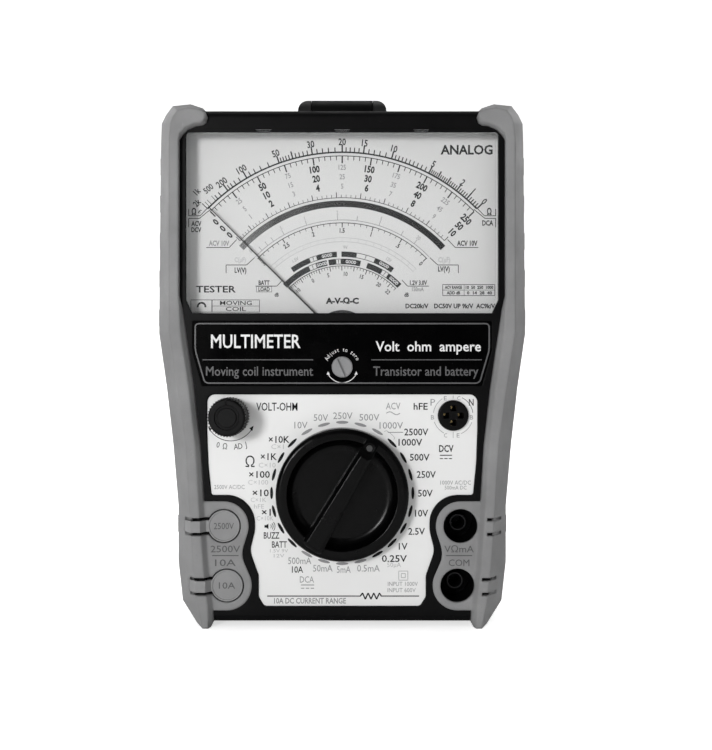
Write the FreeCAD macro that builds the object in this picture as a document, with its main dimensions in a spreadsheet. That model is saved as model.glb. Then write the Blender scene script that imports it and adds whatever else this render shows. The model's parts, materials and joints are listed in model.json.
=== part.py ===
"""Analog multimeter, modelled as the assembly it is: case halves, rubber grips, moving-coil movement,
range selector, jacks, circuit board and batteries.

The meter stands upright. +X is to its right seen from the front, +Z is up and the front faces -Y.
The origin is at the middle of its footprint, level with the soles of the two rubber feet.
"Depth" is how far a thing lies behind the face of the control panel; in front of it depth is negative.
Every body is drawn in its own frame: local X right, local Y up, local Z out of the front of the meter.
"""
import FreeCAD, Part
import math
import os
import Sketcher

V = FreeCAD.Vector
FACING = FreeCAD.Rotation(V(1, 0, 0), 90)

doc = FreeCAD.newDocument("analog_multimeter")
dims = doc.addObject("Spreadsheet::Sheet", "dims")

# ----------------------------------------------------------------------------------------------
# Driving dimensions, in millimetres and degrees
# ----------------------------------------------------------------------------------------------
SIZES = {
    # depths: the case face stands proud of the panel and the halves meet at the split
    "face_proud": 0.6, "split_depth": 18.0, "back_depth": 38.0, "grip_back": 39.0,
    "front_wall": 3.0, "wall": 2.2, "ridge_proud": 3.2, "side_front": 5.0, "side_back": 29.0,
    "case_round": 2.4, "back_round": 3.0, "window_ledge": 1.0, "name_seat": 0.4,
    # heights of the stations at which the outline changes width
    "sole_z": 0.0, "case_foot_z": 1.5, "foot_z": 7.4, "hip_z": 20.0, "knee_z": 38.0, "waist_z": 58.0,
    "shoulder_z": 76.5, "flank_z": 94.0, "head_z": 155.4, "case_top_z": 165.2,
    # half widths at the stations: visible rim of the case, front edge of the grip, side of the grip
    "rim_foot": 41.2, "rim_hip": 42.6, "rim_knee": 43.9, "rim_waist": 45.1, "rim_shoulder": 47.2,
    "rim_flank": 49.8, "rim_head": 51.9,
    "edge_foot": 45.7, "edge_hip": 47.2, "edge_knee": 48.4, "edge_waist": 49.5, "edge_shoulder": 52.2,
    "edge_flank": 54.9, "edge_head": 54.9,
    "side_foot": 51.7, "side_hip": 53.1, "side_knee": 53.1, "side_waist": 54.8, "side_shoulder": 56.9,
    "side_flank": 59.4, "side_head": 58.8,
    "rubber": 5.0, "ridge_slope": 1.6, "pad_half": 2.7, "pad_proud": 0.45,
    # window, lens and dial
    "window_half": 49.9, "window_low": 100.2, "window_high": 158.0, "lens_front": 0.8,
    "lens_thick": 1.8, "lens_rim": 1.1, "dial_depth": 7.0, "dial_thick": 0.6, "dial_half": 51.0,
    "dial_low": 96.6, "dial_high": 161.4,
    # movement
    "pivot_z": 91.6, "pointer_len": 61.4, "pointer_rest": 45.0, "cover_radius": 9.8,
    "core_radius": 8.0, "gap_radius": 10.5, "yoke_radius": 17.0, "yoke_front": 12.0,
    "yoke_back": 22.0, "zero_z": 83.0, "zero_radius": 3.35, "zero_throw": 1.0,
    # plates
    "plate_thick": 0.5, "panel_thick": 0.6, "panel_low": 6.6, "panel_high": 74.2,
    "name_low": 77.1, "name_high": 97.6,
    # range selector
    "knob_z": 42.7, "knob_radius": 21.0, "knob_height": 9.8, "ring_height": 7.4,
    "bowl_radius": 17.4, "bowl_floor": 3.6, "bowl_round": 3.4, "knob_gap": 0.4, "knob_turn": 30.0,
    "dot_reach": 17.1, "positions": 24,
    "shaft_radius": 4.9, "spigot_radius": 3.0, "rotor_radius": 18.5, "rotor_front": 8.4,
    "rotor_back": 11.0,
    # zero-ohm knob and transistor socket
    "ohm_x": 35.7, "ohm_z": 67.3, "ohm_radius": 6.1, "ohm_height": 12.5, "ohm_teeth": 40,
    "pot_radius": 3.0, "socket_x": 35.5, "socket_z": 67.5, "socket_radius": 4.85,
    # jacks, 19 mm apart along each slanting side
    "jack_top_x": 37.8, "jack_top_z": 32.2, "jack_low_x": 36.8, "jack_low_z": 13.2,
    "jack_mouth": 5.45, "jack_cup": 6.9, "jack_bore": 2.0, "sleeve_radius": 2.9,
    "sleeve_front": 8.0, "sleeve_back": 23.0, "cup_floor": 14.5, "cup_back": 17.0,
    "island_proud": 0.8, "island_seat": 0.8, "island_radius": 7.9,
    "cap_radius": 5.05, "strap_width": 3.6, "channel_width": 5.7, "strap_thick": 1.0,
    "strap_reach": 2.2, "knuckle_radius": 0.65, "slit_width": 1.05,
    # circuit board, battery box and cover
    "board_depth": 12.5, "board_thick": 1.6, "box_half": 31.0, "box_low": 14.0, "box_high": 70.5,
    "box_floor": 18.5, "box_front": 17.3, "box_wall": 1.5, "cover_half": 33.4, "cover_low": 11.6,
    "cover_high": 80.4, "cover_thick": 2.0, "cover_screw_z": 75.9, "cell_radius": 7.1,
    "cell_length": 50.0, "cell_depth": 27.3,
    # screws and their bosses
    "case_hole": 1.6, "case_head": 2.5, "case_pilot": 1.2, "small_hole": 1.3, "small_pilot": 1.0,
    # stand
    "hinge_z": 171.2, "hinge_depth": 33.4, "hinge_radius": 5.0, "hinge_half": 15.3,
    "hinge_round": 4.6, "stand_half": 10.6, "stand_low": 99.0, "stand_thick": 2.9, "pin_radius": 1.25,
    "gap": 0.1, "running": 0.06, "side_play": 0.15,
}
for row, (name, size) in enumerate(SIZES.items(), start=1):
    dims.set(f"A{row}", name)
    dims.set(f"B{row}", str(size))
    dims.setAlias(f"B{row}", name)
doc.recompute()


def size(name):
    """Value of one driving dimension, as the sheet holds it."""
    return float(dims.get(name))


# The front of the zero-ohm knob and the back of the grips lie equally far from the origin.
PANEL_Y = (size("ohm_height") - size("grip_back")) / 2


def at(x, depth, z):
    """Placement of a sub-part whose local origin is at x, z and this far behind the panel."""
    return FreeCAD.Placement(V(x, PANEL_Y + depth, z), FACING)


# ----------------------------------------------------------------------------------------------
# Drawing tools
# ----------------------------------------------------------------------------------------------
def bind(thing, prop, value):
    """Sets a property to a number, or binds it to an expression on the sheet."""
    if isinstance(value, str):
        thing.setExpression(prop, value)
    else:
        setattr(thing, prop, value)


def new_body(label, x=0.0, depth=0.0, z=0.0):
    body = doc.addObject("PartDesign::Body", label)
    body.Label = label
    body.Placement = at(x, depth, z)
    return body


def new_sketch(body, level=0.0, plane="XY_Plane"):
    """Sketch parallel to an origin plane of its own body, raised by level."""
    sketch = body.newObject("Sketcher::SketchObject", "sketch")
    support = [f for f in body.Origin.OriginFeatures if f.Role == plane][0]
    sketch.AttachmentSupport = [(support, "")]
    sketch.MapMode = "FlatFace"
    bind_level(sketch, level)
    return sketch


def bind_level(sketch, level):
    if isinstance(level, str):
        sketch.setExpression("AttachmentOffset.Base.z", level)
    else:
        sketch.AttachmentOffset = FreeCAD.Placement(V(0, 0, level), FreeCAD.Rotation())


def circle(sketch, radius, x=0.0, y=0.0):
    """Circle whose radius is bound to the sheet and whose centre is dimensioned from the origin."""
    start = radius if isinstance(radius, (int, float)) else 1.0
    index = sketch.addGeometry(Part.Circle(V(x, y, 0), V(0, 0, 1), start), False)
    fixed = sketch.addConstraint(Sketcher.Constraint("Radius", index, start))
    sketch.renameConstraint(fixed, f"radius{index}")
    if isinstance(radius, str):
        sketch.setExpression(f"Constraints.radius{index}", radius)
    for kind, value in (("DistanceX", x), ("DistanceY", y)):
        if abs(value) > 1e-9:
            sketch.addConstraint(Sketcher.Constraint(kind, -1, 1, index, 3, value))
        else:
            axis = -2 if kind == "DistanceX" else -1
            sketch.addConstraint(Sketcher.Constraint("PointOnObject", index, 3, axis))


def rounded(points):
    """Geometry of a closed outline. A point is (x, y) or (x, y, r), where r rounds that corner."""
    count = len(points)
    corners = []
    for i, point in enumerate(points):
        here = V(point[0], point[1], 0)
        radius = point[2] if len(point) > 2 else 0.0
        before = V(points[i - 1][0], points[i - 1][1], 0) - here
        after = V(points[(i + 1) % count][0], points[(i + 1) % count][1], 0) - here
        before.normalize()
        after.normalize()
        half = before.getAngle(after) / 2
        if radius <= 0 or half > math.pi / 2 - 1e-4:
            corners.append((here, None, here))
            continue
        reach = radius / math.tan(half)
        inward = (before + after).normalize()
        centre = here + inward * (radius / math.sin(half))
        corners.append((here + before * reach, centre - inward * radius, here + after * reach))
    edges = []
    for i, (start, middle, end) in enumerate(corners):
        if middle is not None:
            edges.append(Part.Arc(start, middle, end))
        following = corners[(i + 1) % count][0]
        if (following - end).Length > 1e-6:
            edges.append(Part.LineSegment(end, following))
    return edges


def outline(sketch, points):
    """Closed outline held in place by Block constraints; its points come from the sheet's cells."""
    for edge in rounded(points):
        index = sketch.addGeometry(edge, False)
        sketch.addConstraint(Sketcher.Constraint("Block", index))


def rectangle(sketch, x0, y0, x1, y1, radius=0.0):
    outline(sketch, [(x0, y0, radius), (x1, y0, radius), (x1, y1, radius), (x0, y1, radius)])


def draw(sketch, shapes):
    """Draws shapes such as ("circle", radius, x, y), ("rect", x0, y0, x1, y1, r) and ("outline", points)."""
    tools = {"circle": circle, "rect": rectangle, "outline": outline}
    for shape in shapes:
        tools[shape[0]](sketch, *shape[1:])


def pad(body, shapes, level, height):
    """Adds material from level upwards, towards the front of the meter."""
    sketch = new_sketch(body, level)
    draw(sketch, shapes)
    return prism(body, "Pad", sketch, height)


def pocket(body, shapes, level, depth, turned=False):
    """Cuts material from level downwards, away from the front of the meter, or upwards if turned."""
    sketch = new_sketch(body, level)
    draw(sketch, shapes)
    return prism(body, "Pocket", sketch, depth, turned)


def prism(body, kind, sketch, length, turned=False):
    """Pad or Pocket of a sketch; turned sends it the other way."""
    step = body.newObject(f"PartDesign::{kind}", kind.lower())
    step.Profile = sketch
    bind(step, "Length", length)
    step.Reversed = turned
    return step


def rib(body, shapes, y, width, cut=False):
    """Adds or cuts a prism of this width centred on local y, drawn in the XZ plane."""
    reach = -width / 2 if cut else width / 2
    sketch = new_sketch(body, -(y + reach), "XZ_Plane")
    draw(sketch, shapes)
    return prism(body, "Pocket" if cut else "Pad", sketch, width)


def revolve(body, points):
    """Solid of revolution about the local Z axis. Points are (radius, height)."""
    sketch = new_sketch(body, plane="XZ_Plane")
    outline(sketch, points)
    step = body.newObject("PartDesign::Revolution", "revolution")
    step.Profile = sketch
    step.ReferenceAxis = (sketch, ["V_Axis"])
    step.Angle = 360
    return step


def dress(body, kind, base, level, amount):
    """Fillet or Chamfer on the edges of base that lie wholly at one local height."""
    doc.recompute()
    names = []
    for index, edge in enumerate(base.Shape.Edges, start=1):
        box = edge.BoundBox
        if abs(box.ZMin - level) < 1e-4 and abs(box.ZMax - level) < 1e-4:
            names.append(f"Edge{index}")
    step = body.newObject(f"PartDesign::{kind}", kind.lower())
    step.Base = (base, names)
    bind(step, "Radius" if kind == "Fillet" else "Size", amount)
    return step


def cylinder(label, radius, height, x, depth, z, rotation=FACING):
    solid = doc.addObject("Part::Cylinder", label)
    solid.Label = label
    bind(solid, "Radius", radius)
    bind(solid, "Height", height)
    solid.Placement = FreeCAD.Placement(V(x, PANEL_Y + depth, z), rotation)
    return solid


def block(label, width, tall, thick, x, depth, z):
    """Box centred on x and z whose back face lies at depth."""
    solid = doc.addObject("Part::Box", label)
    solid.Label = label
    solid.Length, solid.Width, solid.Height = width, tall, thick
    solid.Placement = at(x - width / 2, depth, z - tall / 2)
    return solid


def boolean(kind, label, base, tool):
    result = doc.addObject(f"Part::{kind}", label)
    result.Label = label
    result.Base = base
    result.Tool = tool
    return result


def fuse(label, parts):
    result = doc.addObject("Part::MultiFuse", label)
    result.Label = label
    result.Shapes = parts
    return result


def group(label, parts):
    """Several separate solids of one kind that share a node."""
    result = doc.addObject("Part::Compound", label)
    result.Label = label
    result.Links = parts
    return result


def feature(label, shape, placement=None):
    """Sub-part whose shape is made with Part's own functions."""
    result = doc.addObject("Part::Feature", label)
    result.Label = label
    result.Shape = shape
    result.Placement = placement or FreeCAD.Placement()
    return result


def mirrored(half):
    """Full outline from its right half, listed from the bottom to the top."""
    return half + [(-p[0],) + tuple(p[1:]) for p in reversed(half)]


STATIONS = ("foot", "hip", "knee", "waist", "shoulder", "flank", "head")


def flank(kind, shift=0.0):
    """Right-hand edge through the stations for rim, edge or side, moved outwards by shift."""
    return [(size(f"{kind}_{s}") + shift, size(f"{s}_z")) for s in STATIONS]


def flank_at(kind, z):
    """Half width of the rim, edge or side at height z."""
    line = flank(kind)
    for (x0, z0), (x1, z1) in zip(line, line[1:]):
        if z <= z1:
            return x0 + (x1 - x0) * (z - z0) / (z1 - z0)
    return line[-1][0]


def mix(first, second, share):
    """Points part of the way from one outline to another."""
    return [(a[0] + (b[0] - a[0]) * share, a[1] + (b[1] - a[1]) * share)
            for a, b in zip(first, second)]


def flipped(points, side):
    """Outline drawn for the right-hand side, mirrored when side is -1."""
    return [(side * p[0],) + tuple(p[1:]) for p in points]


def turned_about(points, degrees):
    """Points turned anticlockwise about the local origin."""
    c, s = math.cos(math.radians(degrees)), math.sin(math.radians(degrees))
    return [(x * c - y * s, x * s + y * c) for x, y in points]


JACKS = {
    "right_top": (size("jack_top_x"), size("jack_top_z")),
    "right_low": (size("jack_low_x"), size("jack_low_z")),
    "left_top": (-size("jack_top_x"), size("jack_top_z")),
    "left_low": (-size("jack_low_x"), size("jack_low_z")),
}
UPPER_BOSSES = [(46.5, 88.0), (-46.5, 88.0)]
LOWER_BOSSES = [(20.0, 7.6), (-20.0, 7.6)]
CASE_BOSSES = UPPER_BOSSES + LOWER_BOSSES
MOVEMENT_BOSSES = [(34.0, 87.0), (-34.0, 87.0)]
DIAL_POSTS = [(24.0, 98.4), (-24.0, 98.4)]
LENS_TABS = (-25.2, 0.0, 25.2)
SOCKET_PINS = [(0, 2.3), (2.3, 0), (0, -2.3), (-2.3, 0)]
COVER_SCREW = [(0.0, size("cover_screw_z"))]
FACE = size("face_proud")
SPLIT = -size("split_depth")
BACK = -size("back_depth")
INNER_FRONT = FACE - size("front_wall")


# ----------------------------------------------------------------------------------------------
# Outlines seen from the front
# ----------------------------------------------------------------------------------------------
def case_outline(inset=0.0):
    """Case under the grips."""
    foot, top = size("case_foot_z") + inset, size("case_top_z") - inset
    under = flank("side", -size("rubber") - inset)
    corner = 3.5 if inset == 0 else 1.5
    return mirrored([(under[0][0] - 2.6, foot, 2.0)] + under + [(under[-1][0], top, corner)])


def window_outline(grow=0.0):
    half, low, high = size("window_half") + grow, size("window_low") - grow, size("window_high") + grow
    return mirrored([(half - 2.0, low), (half, low + 4.2), (half, high, 1.2)])


def name_outline(grow=0.0):
    low, high = size("name_low") - grow, size("name_high") + grow
    return mirrored([(44.6 + grow, low), (47.7 + grow, low + 11.3), (47.7 + grow, high)])


def panel_outline(grow=0.0):
    low, high = size("panel_low") - grow, size("panel_high") + grow
    neck = size("jack_top_z") + 9.9 - grow
    right = [(24.9 + grow, low, 1.5), (26.7 + grow, low + 3.0, 2.0), (26.7 + grow, 16.4, 4.0),
             (29.5 + grow, 24.2, 6.0), (27.9 + grow, 30.7, 9.9), (27.9 + grow, neck, 9.0),
             (41.8 + grow, neck, 0.8), (42.8 + grow, 52.3), (43.2 + grow, 63.0),
             (43.2 + grow, high, 2.5)]
    return mirrored(right)


def island_outline(side):
    """Rubber apron round the two jacks of one side."""
    top_x, top_z, r = size("jack_top_x"), size("jack_top_z"), size("island_radius")
    low_x, low_z = size("jack_low_x"), size("jack_low_z")
    tuck = 2.0
    right = [(flank_at("rim", top_z + r) + tuck, top_z + r), (top_x - r, top_z + r, r),
             (top_x - r, top_z - 1.3, r), (32.4, 22.9, r), (low_x - r, low_z + 1.8, r),
             (low_x - r, low_z - r, r), (flank_at("rim", low_z - r) + tuck, low_z - r)]
    return flipped(right, side)


# Claw of the grip over the top corner of the case: its back edge, front edge, foot and inner edge
CLAW_SIDE = [(58.6, 161.9), (57.2, 164.8), (55.0, 167.7), (49.2, 168.3), (45.2, 167.0), (43.6, 165.3)]
CLAW_EDGE = [(54.4, 160.4), (53.6, 162.6), (52.2, 164.4), (48.9, 165.3), (45.6, 164.8), (43.7, 163.9)]
CLAW_RIM = [(42.9, 162.6), (43.4, 160.9), (44.5, 160.1), (46.7, 159.8), (49.4, 158.6), (51.1, 156.8)]
CLAW_RIDGE = [(43.5, 162.9), (43.9, 161.5), (44.8, 160.8), (47.0, 160.4), (49.9, 159.1), (51.6, 157.2)]


def grip_section(outwards, upwards, inset):
    """Right-hand grip cut parallel to the front.

    outwards runs from 0 at the side to 1 at the front edge, upwards from 0 at the rim to 1 at the
    top of the ridge, and inset draws the outer side in at the back.
    """
    sole = size("sole_z")
    side = [(47.1, sole)] + flank("side") + CLAW_SIDE
    edge = [(44.3, sole)] + flank("edge") + CLAW_EDGE
    slope = size("ridge_slope")
    shoulder_rim = [(51.9, 105.7), (50.9, 101.4)]
    shoulder_ridge = [(52.0, 105.7), (51.7, 101.4)]
    heel_rim, heel_ridge = [(40.9, 1.9), (41.9, sole)], [(42.6, 3.0), (42.5, sole)]
    rim = CLAW_RIM + [flank("rim")[-1]] + shoulder_rim + flank("rim")[-2::-1] + heel_rim
    ridge = CLAW_RIDGE + [flank("rim", 0.1)[-1]] + shoulder_ridge + flank("rim", slope)[-2::-1] + heel_ridge
    outer = mix(side, edge, outwards)
    core_x, core_z = 40.0, 90.0
    drawn = [(x - inset * (x > core_x), z - math.copysign(inset, z - core_z) * (z < 5 or z > 160))
             for x, z in outer]
    return drawn + mix(rim, ridge, upwards)


# ----------------------------------------------------------------------------------------------
# Case
# ----------------------------------------------------------------------------------------------
def round_holes(radius, places):
    return [("circle", radius, x, z) for x, z in places]


def lens_tabs(grow=0.0):
    """Small tapering tabs along the top of the window, by which the lens is clipped in."""
    low, high, narrow, broad = size("window_high") - 0.6, size("window_high") + 0.9 + grow, 1.6, 2.5
    return [("outline", [(x - narrow - grow, low), (x + narrow + grow, low), (x + broad + grow, high),
                         (x - broad - grow, high)]) for x in LENS_TABS]


def make_front_case():
    body = new_body("front_case")
    boss, post, collar, collar_back, zero_hole, seat_gap = 3.6, 3.2, 8.0, 5.0, 2.5, size("gap")
    knob = (0, size("knob_z"))
    shell = pad(body, [("outline", case_outline())], SPLIT, "dims.split_depth + dims.face_proud")
    dress(body, "Fillet", shell, FACE, "dims.case_round")
    pocket(body, [("outline", case_outline(size("wall")))], INNER_FRONT, INNER_FRONT - SPLIT + 1)
    pad(body, round_holes("dims.jack_cup", JACKS.values()), "-dims.cup_back",
        "dims.cup_back - dims.front_wall + dims.face_proud")
    pad(body, round_holes(boss, CASE_BOSSES), SPLIT, INNER_FRONT - SPLIT)
    pad(body, round_holes(post, MOVEMENT_BOSSES), "-dims.yoke_back", size("yoke_back") + INNER_FRONT)
    pad(body, [("circle", collar, *knob)], -collar_back, collar_back + INNER_FRONT)
    pad(body, detent_ring(), "-dims.rotor_back", "dims.rotor_back - dims.front_wall + dims.face_proud")
    pocket(body, [("outline", window_outline())], FACE, "dims.front_wall")
    ledge = window_outline(size("lens_rim") + seat_gap)
    pocket(body, [("outline", ledge)], "-dims.window_ledge", 2.0)
    pocket(body, lens_tabs(seat_gap), FACE, 0.9)
    pocket(body, [("outline", name_outline(seat_gap))], FACE, "dims.name_seat")
    pocket(body, [("outline", panel_outline(seat_gap))], FACE, "dims.panel_thick + dims.face_proud")
    for side in (1, -1):
        pocket(body, [("outline", island_outline(side))], FACE, "dims.face_proud + dims.island_seat")
    pocket(body, round_holes("dims.jack_mouth", JACKS.values()), FACE, "dims.cup_floor + dims.face_proud")
    pocket(body, round_holes("dims.sleeve_radius", JACKS.values()), "1 - dims.cup_floor", "dims.cup_back")
    pocket(body, [("circle", "dims.shaft_radius + dims.running", *knob),
                  ("circle", "dims.pot_radius + dims.running", -size("ohm_x"), size("ohm_z")),
                  ("circle", "dims.socket_radius", size("socket_x"), size("socket_z")),
                  ("circle", zero_hole + size("running"), 0, size("zero_z"))], FACE, 8.0)
    pocket(body, round_holes("dims.case_pilot", CASE_BOSSES), -8.0, 12.0)
    pocket(body, round_holes("dims.small_pilot", MOVEMENT_BOSSES), -12.0, 12.0)
    return body


def detent_ring():
    """Fixed ring round the selector rotor, with one shallow notch for each position."""
    count = int(size("positions"))
    rim, tip, notch = 21.6, 20.0, 20.6
    x0, z0 = 0.0, size("knob_z")
    inside = []
    for i in range(count):
        centre = 2 * math.pi * i / count
        for offset, radius in ((-0.05, tip), (-0.02, notch), (0.02, notch), (0.05, tip)):
            turn = centre + offset
            inside.append((x0 + radius * math.cos(turn), z0 + radius * math.sin(turn)))
    return [("circle", rim, x0, z0), ("outline", inside)]


def upright(half, low, high, grow, corner):
    """Upright rectangle centred on the meter's middle line, grown outwards on every side."""
    return [("rect", -half - grow, low - grow, half + grow, high + grow, corner)]


def make_rear_case():
    body = new_body("rear_case")
    box = (size("box_half"), size("box_low"), size("box_high"))
    seat = (size("cover_half"), size("cover_low"), size("cover_high"))
    recess = (size("stand_half") + 0.3, size("stand_low") - 0.4, 170.0)
    bosses = (("upper", 4.2, UPPER_BOSSES, SPLIT), ("lower", 3.4, LOWER_BOSSES, SPLIT),
              ("cover", 3.0, COVER_SCREW, -25.0))
    shell = pad(body, [("outline", case_outline())], BACK, "dims.back_depth - dims.split_depth")
    dress(body, "Fillet", shell, BACK, "dims.back_round")
    pocket(body, [("outline", case_outline(size("wall")))], SPLIT + 1, SPLIT - BACK + 1 - size("wall"))
    pad(body, upright(*seat, 1.8, 3.0), BACK, "dims.cover_thick + 2")
    pad(body, upright(*box, size("box_wall"), 1.0), BACK, "dims.back_depth - dims.box_front")
    for _, radius, places, front in bosses:
        pad(body, round_holes(radius, places), BACK + 1, front - BACK - 1)
    pad(body, upright(recess[0], recess[1], 161.6, 2.0, 1.0), BACK + 1, "dims.stand_thick + dims.wall - 0.8")
    pocket(body, upright(*box, 0.0, 1.0), "-dims.box_floor", "dims.back_depth")
    pocket(body, upright(*seat, 0.15, 3.0), "dims.cover_thick - dims.back_depth", 5.0)
    pocket(body, upright(*recess, 0.0, 2.0), "dims.stand_thick + 0.3 - dims.back_depth", 6.0)
    pocket(body, round_holes("dims.case_hole", CASE_BOSSES), -10.0, "dims.back_depth")
    pocket(body, round_holes("dims.case_head + 0.2", CASE_BOSSES), -32.0, 8.0)
    pocket(body, round_holes("dims.small_pilot", COVER_SCREW), -28.0, 12.0)
    for side in (1, -1):
        make_lug(body, side)
    return body


def make_lug(body, side):
    """Ear of the rear case that holds one end of the hinge pin, rounded at its outer corner."""
    z, level, r = size("hinge_z"), -size("hinge_depth"), size("hinge_radius")
    inner, outer = size("stand_half") + size("side_play"), size("hinge_half")
    root, crown, round_off = size("case_top_z") - 1.5, z + r, size("hinge_round")
    start = outer if side > 0 else -inner
    section = new_sketch(body, start, "YZ_Plane")
    outline(section, [(root, level - r + 0.6), (root, level + r), (crown, level + r, r - 0.01),
                      (crown, level - r, r - 0.01), (root + 2.0, level - r)])
    prism(body, "Pad", section, outer - inner, True)
    corner = [(outer - round_off, crown), (outer, crown, round_off), (outer, crown - round_off),
              (outer + 1, crown - round_off), (outer + 1, crown + 1), (outer - round_off, crown + 1)]
    pocket(body, [("outline", flipped(corner, side))], level + r + 1, 2 * r + 2)
    hole = new_sketch(body, start, "YZ_Plane")
    circle(hole, "dims.pin_radius", z, level)
    prism(body, "Pocket", hole, outer - inner)


# ----------------------------------------------------------------------------------------------
# Rubber grips and jack caps
# ----------------------------------------------------------------------------------------------
def strap_geometry(z):
    """Section of a cap strap at height z, for the right-hand side: top line, inner line and hinge."""
    rim, edge, side = flank_at("rim", z), flank_at("edge", z), flank_at("side", z)
    proud, drop = size("ridge_proud"), size("ridge_proud") + size("side_front")
    run = side - edge
    length = math.hypot(run, drop)
    nx, nz = drop / length, run / length
    root_x = edge + size("strap_reach")
    root_z = proud - (root_x - edge) * drop / run
    thick, knuckle = size("strap_thick"), size("knuckle_radius")
    flat, foot = size("island_proud"), size("ridge_slope")
    shoulder = edge - thick * nx + (run / drop) * (thick - thick * nz)
    top = [(rim, flat), (rim + foot, proud), (edge, proud), (root_x, root_z)]
    inner = [(root_x - thick * nx, root_z - thick * nz), (shoulder, proud - thick),
             (rim + foot + 0.6, proud - thick), (rim + 0.7, flat - thick - 0.15)]
    hinge = (root_x - knuckle * nx, root_z - knuckle * nz)
    return top, inner, hinge


def make_grip(side):
    name = "right_grip" if side > 0 else "left_grip"
    body = new_body(name)
    levels = [(-size("grip_back"), 0.0, 0.0, 2.6), (-size("side_back"), 0.0, 0.0, 0.0),
              (-size("side_front"), 0.0, 0.0, 0.0),
              (FACE, (FACE + size("side_front")) / (size("ridge_proud") + size("side_front")), 0.0, 0.0),
              (size("ridge_proud"), 1.0, 1.0, 0.0)]
    sections = []
    for level, outwards, upwards, inset in levels:
        sketch = new_sketch(body, level)
        outline(sketch, flipped(grip_section(outwards, upwards, inset), side))
        sections.append(sketch)
    loft = body.newObject("PartDesign::AdditiveLoft", "loft")
    loft.Profile = sections[0]
    loft.Sections = sections[1:]
    loft.Ruled = True
    for z in GRIP_PADS:
        make_grip_pad(body, side, z)
    pocket(body, [("outline", case_outline())], FACE, "dims.face_proud + dims.back_depth")
    pad(body, [("outline", island_outline(side))], "-dims.island_seat",
        "dims.island_seat + dims.island_proud")
    mouths = [place for name, place in JACKS.items() if name.startswith("right" if side > 0 else "left")]
    pocket(body, round_holes("dims.jack_mouth", mouths), 5.0, 10.0)
    for x, z in mouths:
        if side < 0:
            cut_strap_channel(body, abs(x), z)
        else:
            cut_slits(body, z)
    return body


GRIP_PADS = (32.0, 99.0, 111.8, 124.0, 136.2, 148.4)


def make_grip_pad(body, side, z):
    """Raised pad on the side of the grip."""
    x, half, proud = flank_at("side", z), size("pad_half"), size("pad_proud")
    sunk, slant, margin = 2.0, 0.8, 2.0
    sketch = new_sketch(body, margin - size("side_back"))
    outline(sketch, flipped([(x - sunk, z - half - slant), (x + proud, z - half), (x + proud, z + half),
                             (x - sunk, z + half + slant)], side))
    prism(body, "Pad", sketch, size("side_back") - size("side_front") - 2 * margin)


def cut_slots(body, z, side, bottom):
    """Pair of slots across the ridge of a grip, on either side of height z. bottom is their floor line."""
    over = size("ridge_proud") + 1.0
    section = [(bottom[0][0], over), (bottom[-1][0], over)] + bottom[::-1]
    offset = (size("channel_width") - size("slit_width")) / 2
    for shift in (-offset, offset):
        rib(body, [("outline", flipped(section, side))], z + shift, size("slit_width"), cut=True)


def cut_strap_channel(body, jack_x, z):
    """Slot in the left grip in which the strap of a cap lies, with room on both sides of it."""
    top, inner, hinge = strap_geometry(z)
    gap, over = size("gap"), size("ridge_proud") + 1.0
    floor, past = -size("island_seat"), top[3][0] + 1.2
    (x0, z0), (x1, z1) = inner[0], inner[1]
    meets_case = x0 + (x1 - x0) * (FACE - z0) / (z1 - z0)
    room = hinge[1] - size("knuckle_radius") - gap / 2
    points = [(jack_x, over), (past, over), (past, room), (hinge[0], room), (x0, z0 - gap),
              (meets_case, FACE - gap), (meets_case, floor), (jack_x, floor)]
    rib(body, [("outline", flipped(points, -1))], z, size("strap_width") + 2 * gap, cut=True)
    rib(body, [("circle", "dims.knuckle_radius + dims.gap", -hinge[0], hinge[1])], z,
        size("strap_width") + 2 * gap, cut=True)
    cut_slots(body, z, -1, [(jack_x, floor - gap), (top[3][0], floor - gap)])


def cut_slits(body, z):
    """Pair of blind slits across the ridge of the right grip and down over its outer slope."""
    top, _, _ = strap_geometry(z)
    (edge_x, edge_z), (root_x, root_z) = top[2], top[3]
    floor, past, deep = FACE - size("gap"), 0.8, 1.0
    end_z = root_z - past * (edge_z - root_z) / (root_x - edge_x)
    cut_slots(body, z, 1, [(top[1][0] + 0.9, floor), (edge_x + 1.0, floor), (root_x + past, end_z - deep)])


def make_cap(label, jack_x, z):
    """Rubber cap of a left-hand jack with its strap, drawn shut."""
    body = new_body(label)
    top, inner, hinge = strap_geometry(z)
    flat, floor = size("island_proud"), -2.0
    crown = flat + 0.1
    pad(body, [("circle", "dims.cap_radius", -jack_x, z)], floor, crown - floor)
    points = [(jack_x, flat)] + top + inner + [(jack_x, inner[3][1])]
    rib(body, [("outline", flipped(points, -1))], z, size("strap_width"))
    rib(body, [("circle", "dims.knuckle_radius", -hinge[0], hinge[1])], z, size("strap_width"))
    hollow, dish = 3.2, 4.6
    pocket(body, [("circle", hollow, -jack_x, z)], -1.0, 3.0)
    pocket(body, [("circle", dish, -jack_x, z)], crown, 0.25)
    return body


# ----------------------------------------------------------------------------------------------
# Window, dial and plates
# ----------------------------------------------------------------------------------------------
def make_lens():
    body = new_body("window_lens")
    front, back = size("lens_front"), size("lens_front") - size("lens_thick")
    flange = 1.2
    pad(body, [("outline", window_outline(size("lens_rim")))], back - flange, flange)
    plate = pad(body, [("outline", window_outline(-0.05))], back, "dims.lens_thick")
    dress(body, "Chamfer", plate, front, 0.4)
    pad(body, lens_tabs(), 0.0, FACE)
    pocket(body, [("outline", window_outline(-0.7))], back, "dims.lens_thick + 1")
    return body


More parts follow.
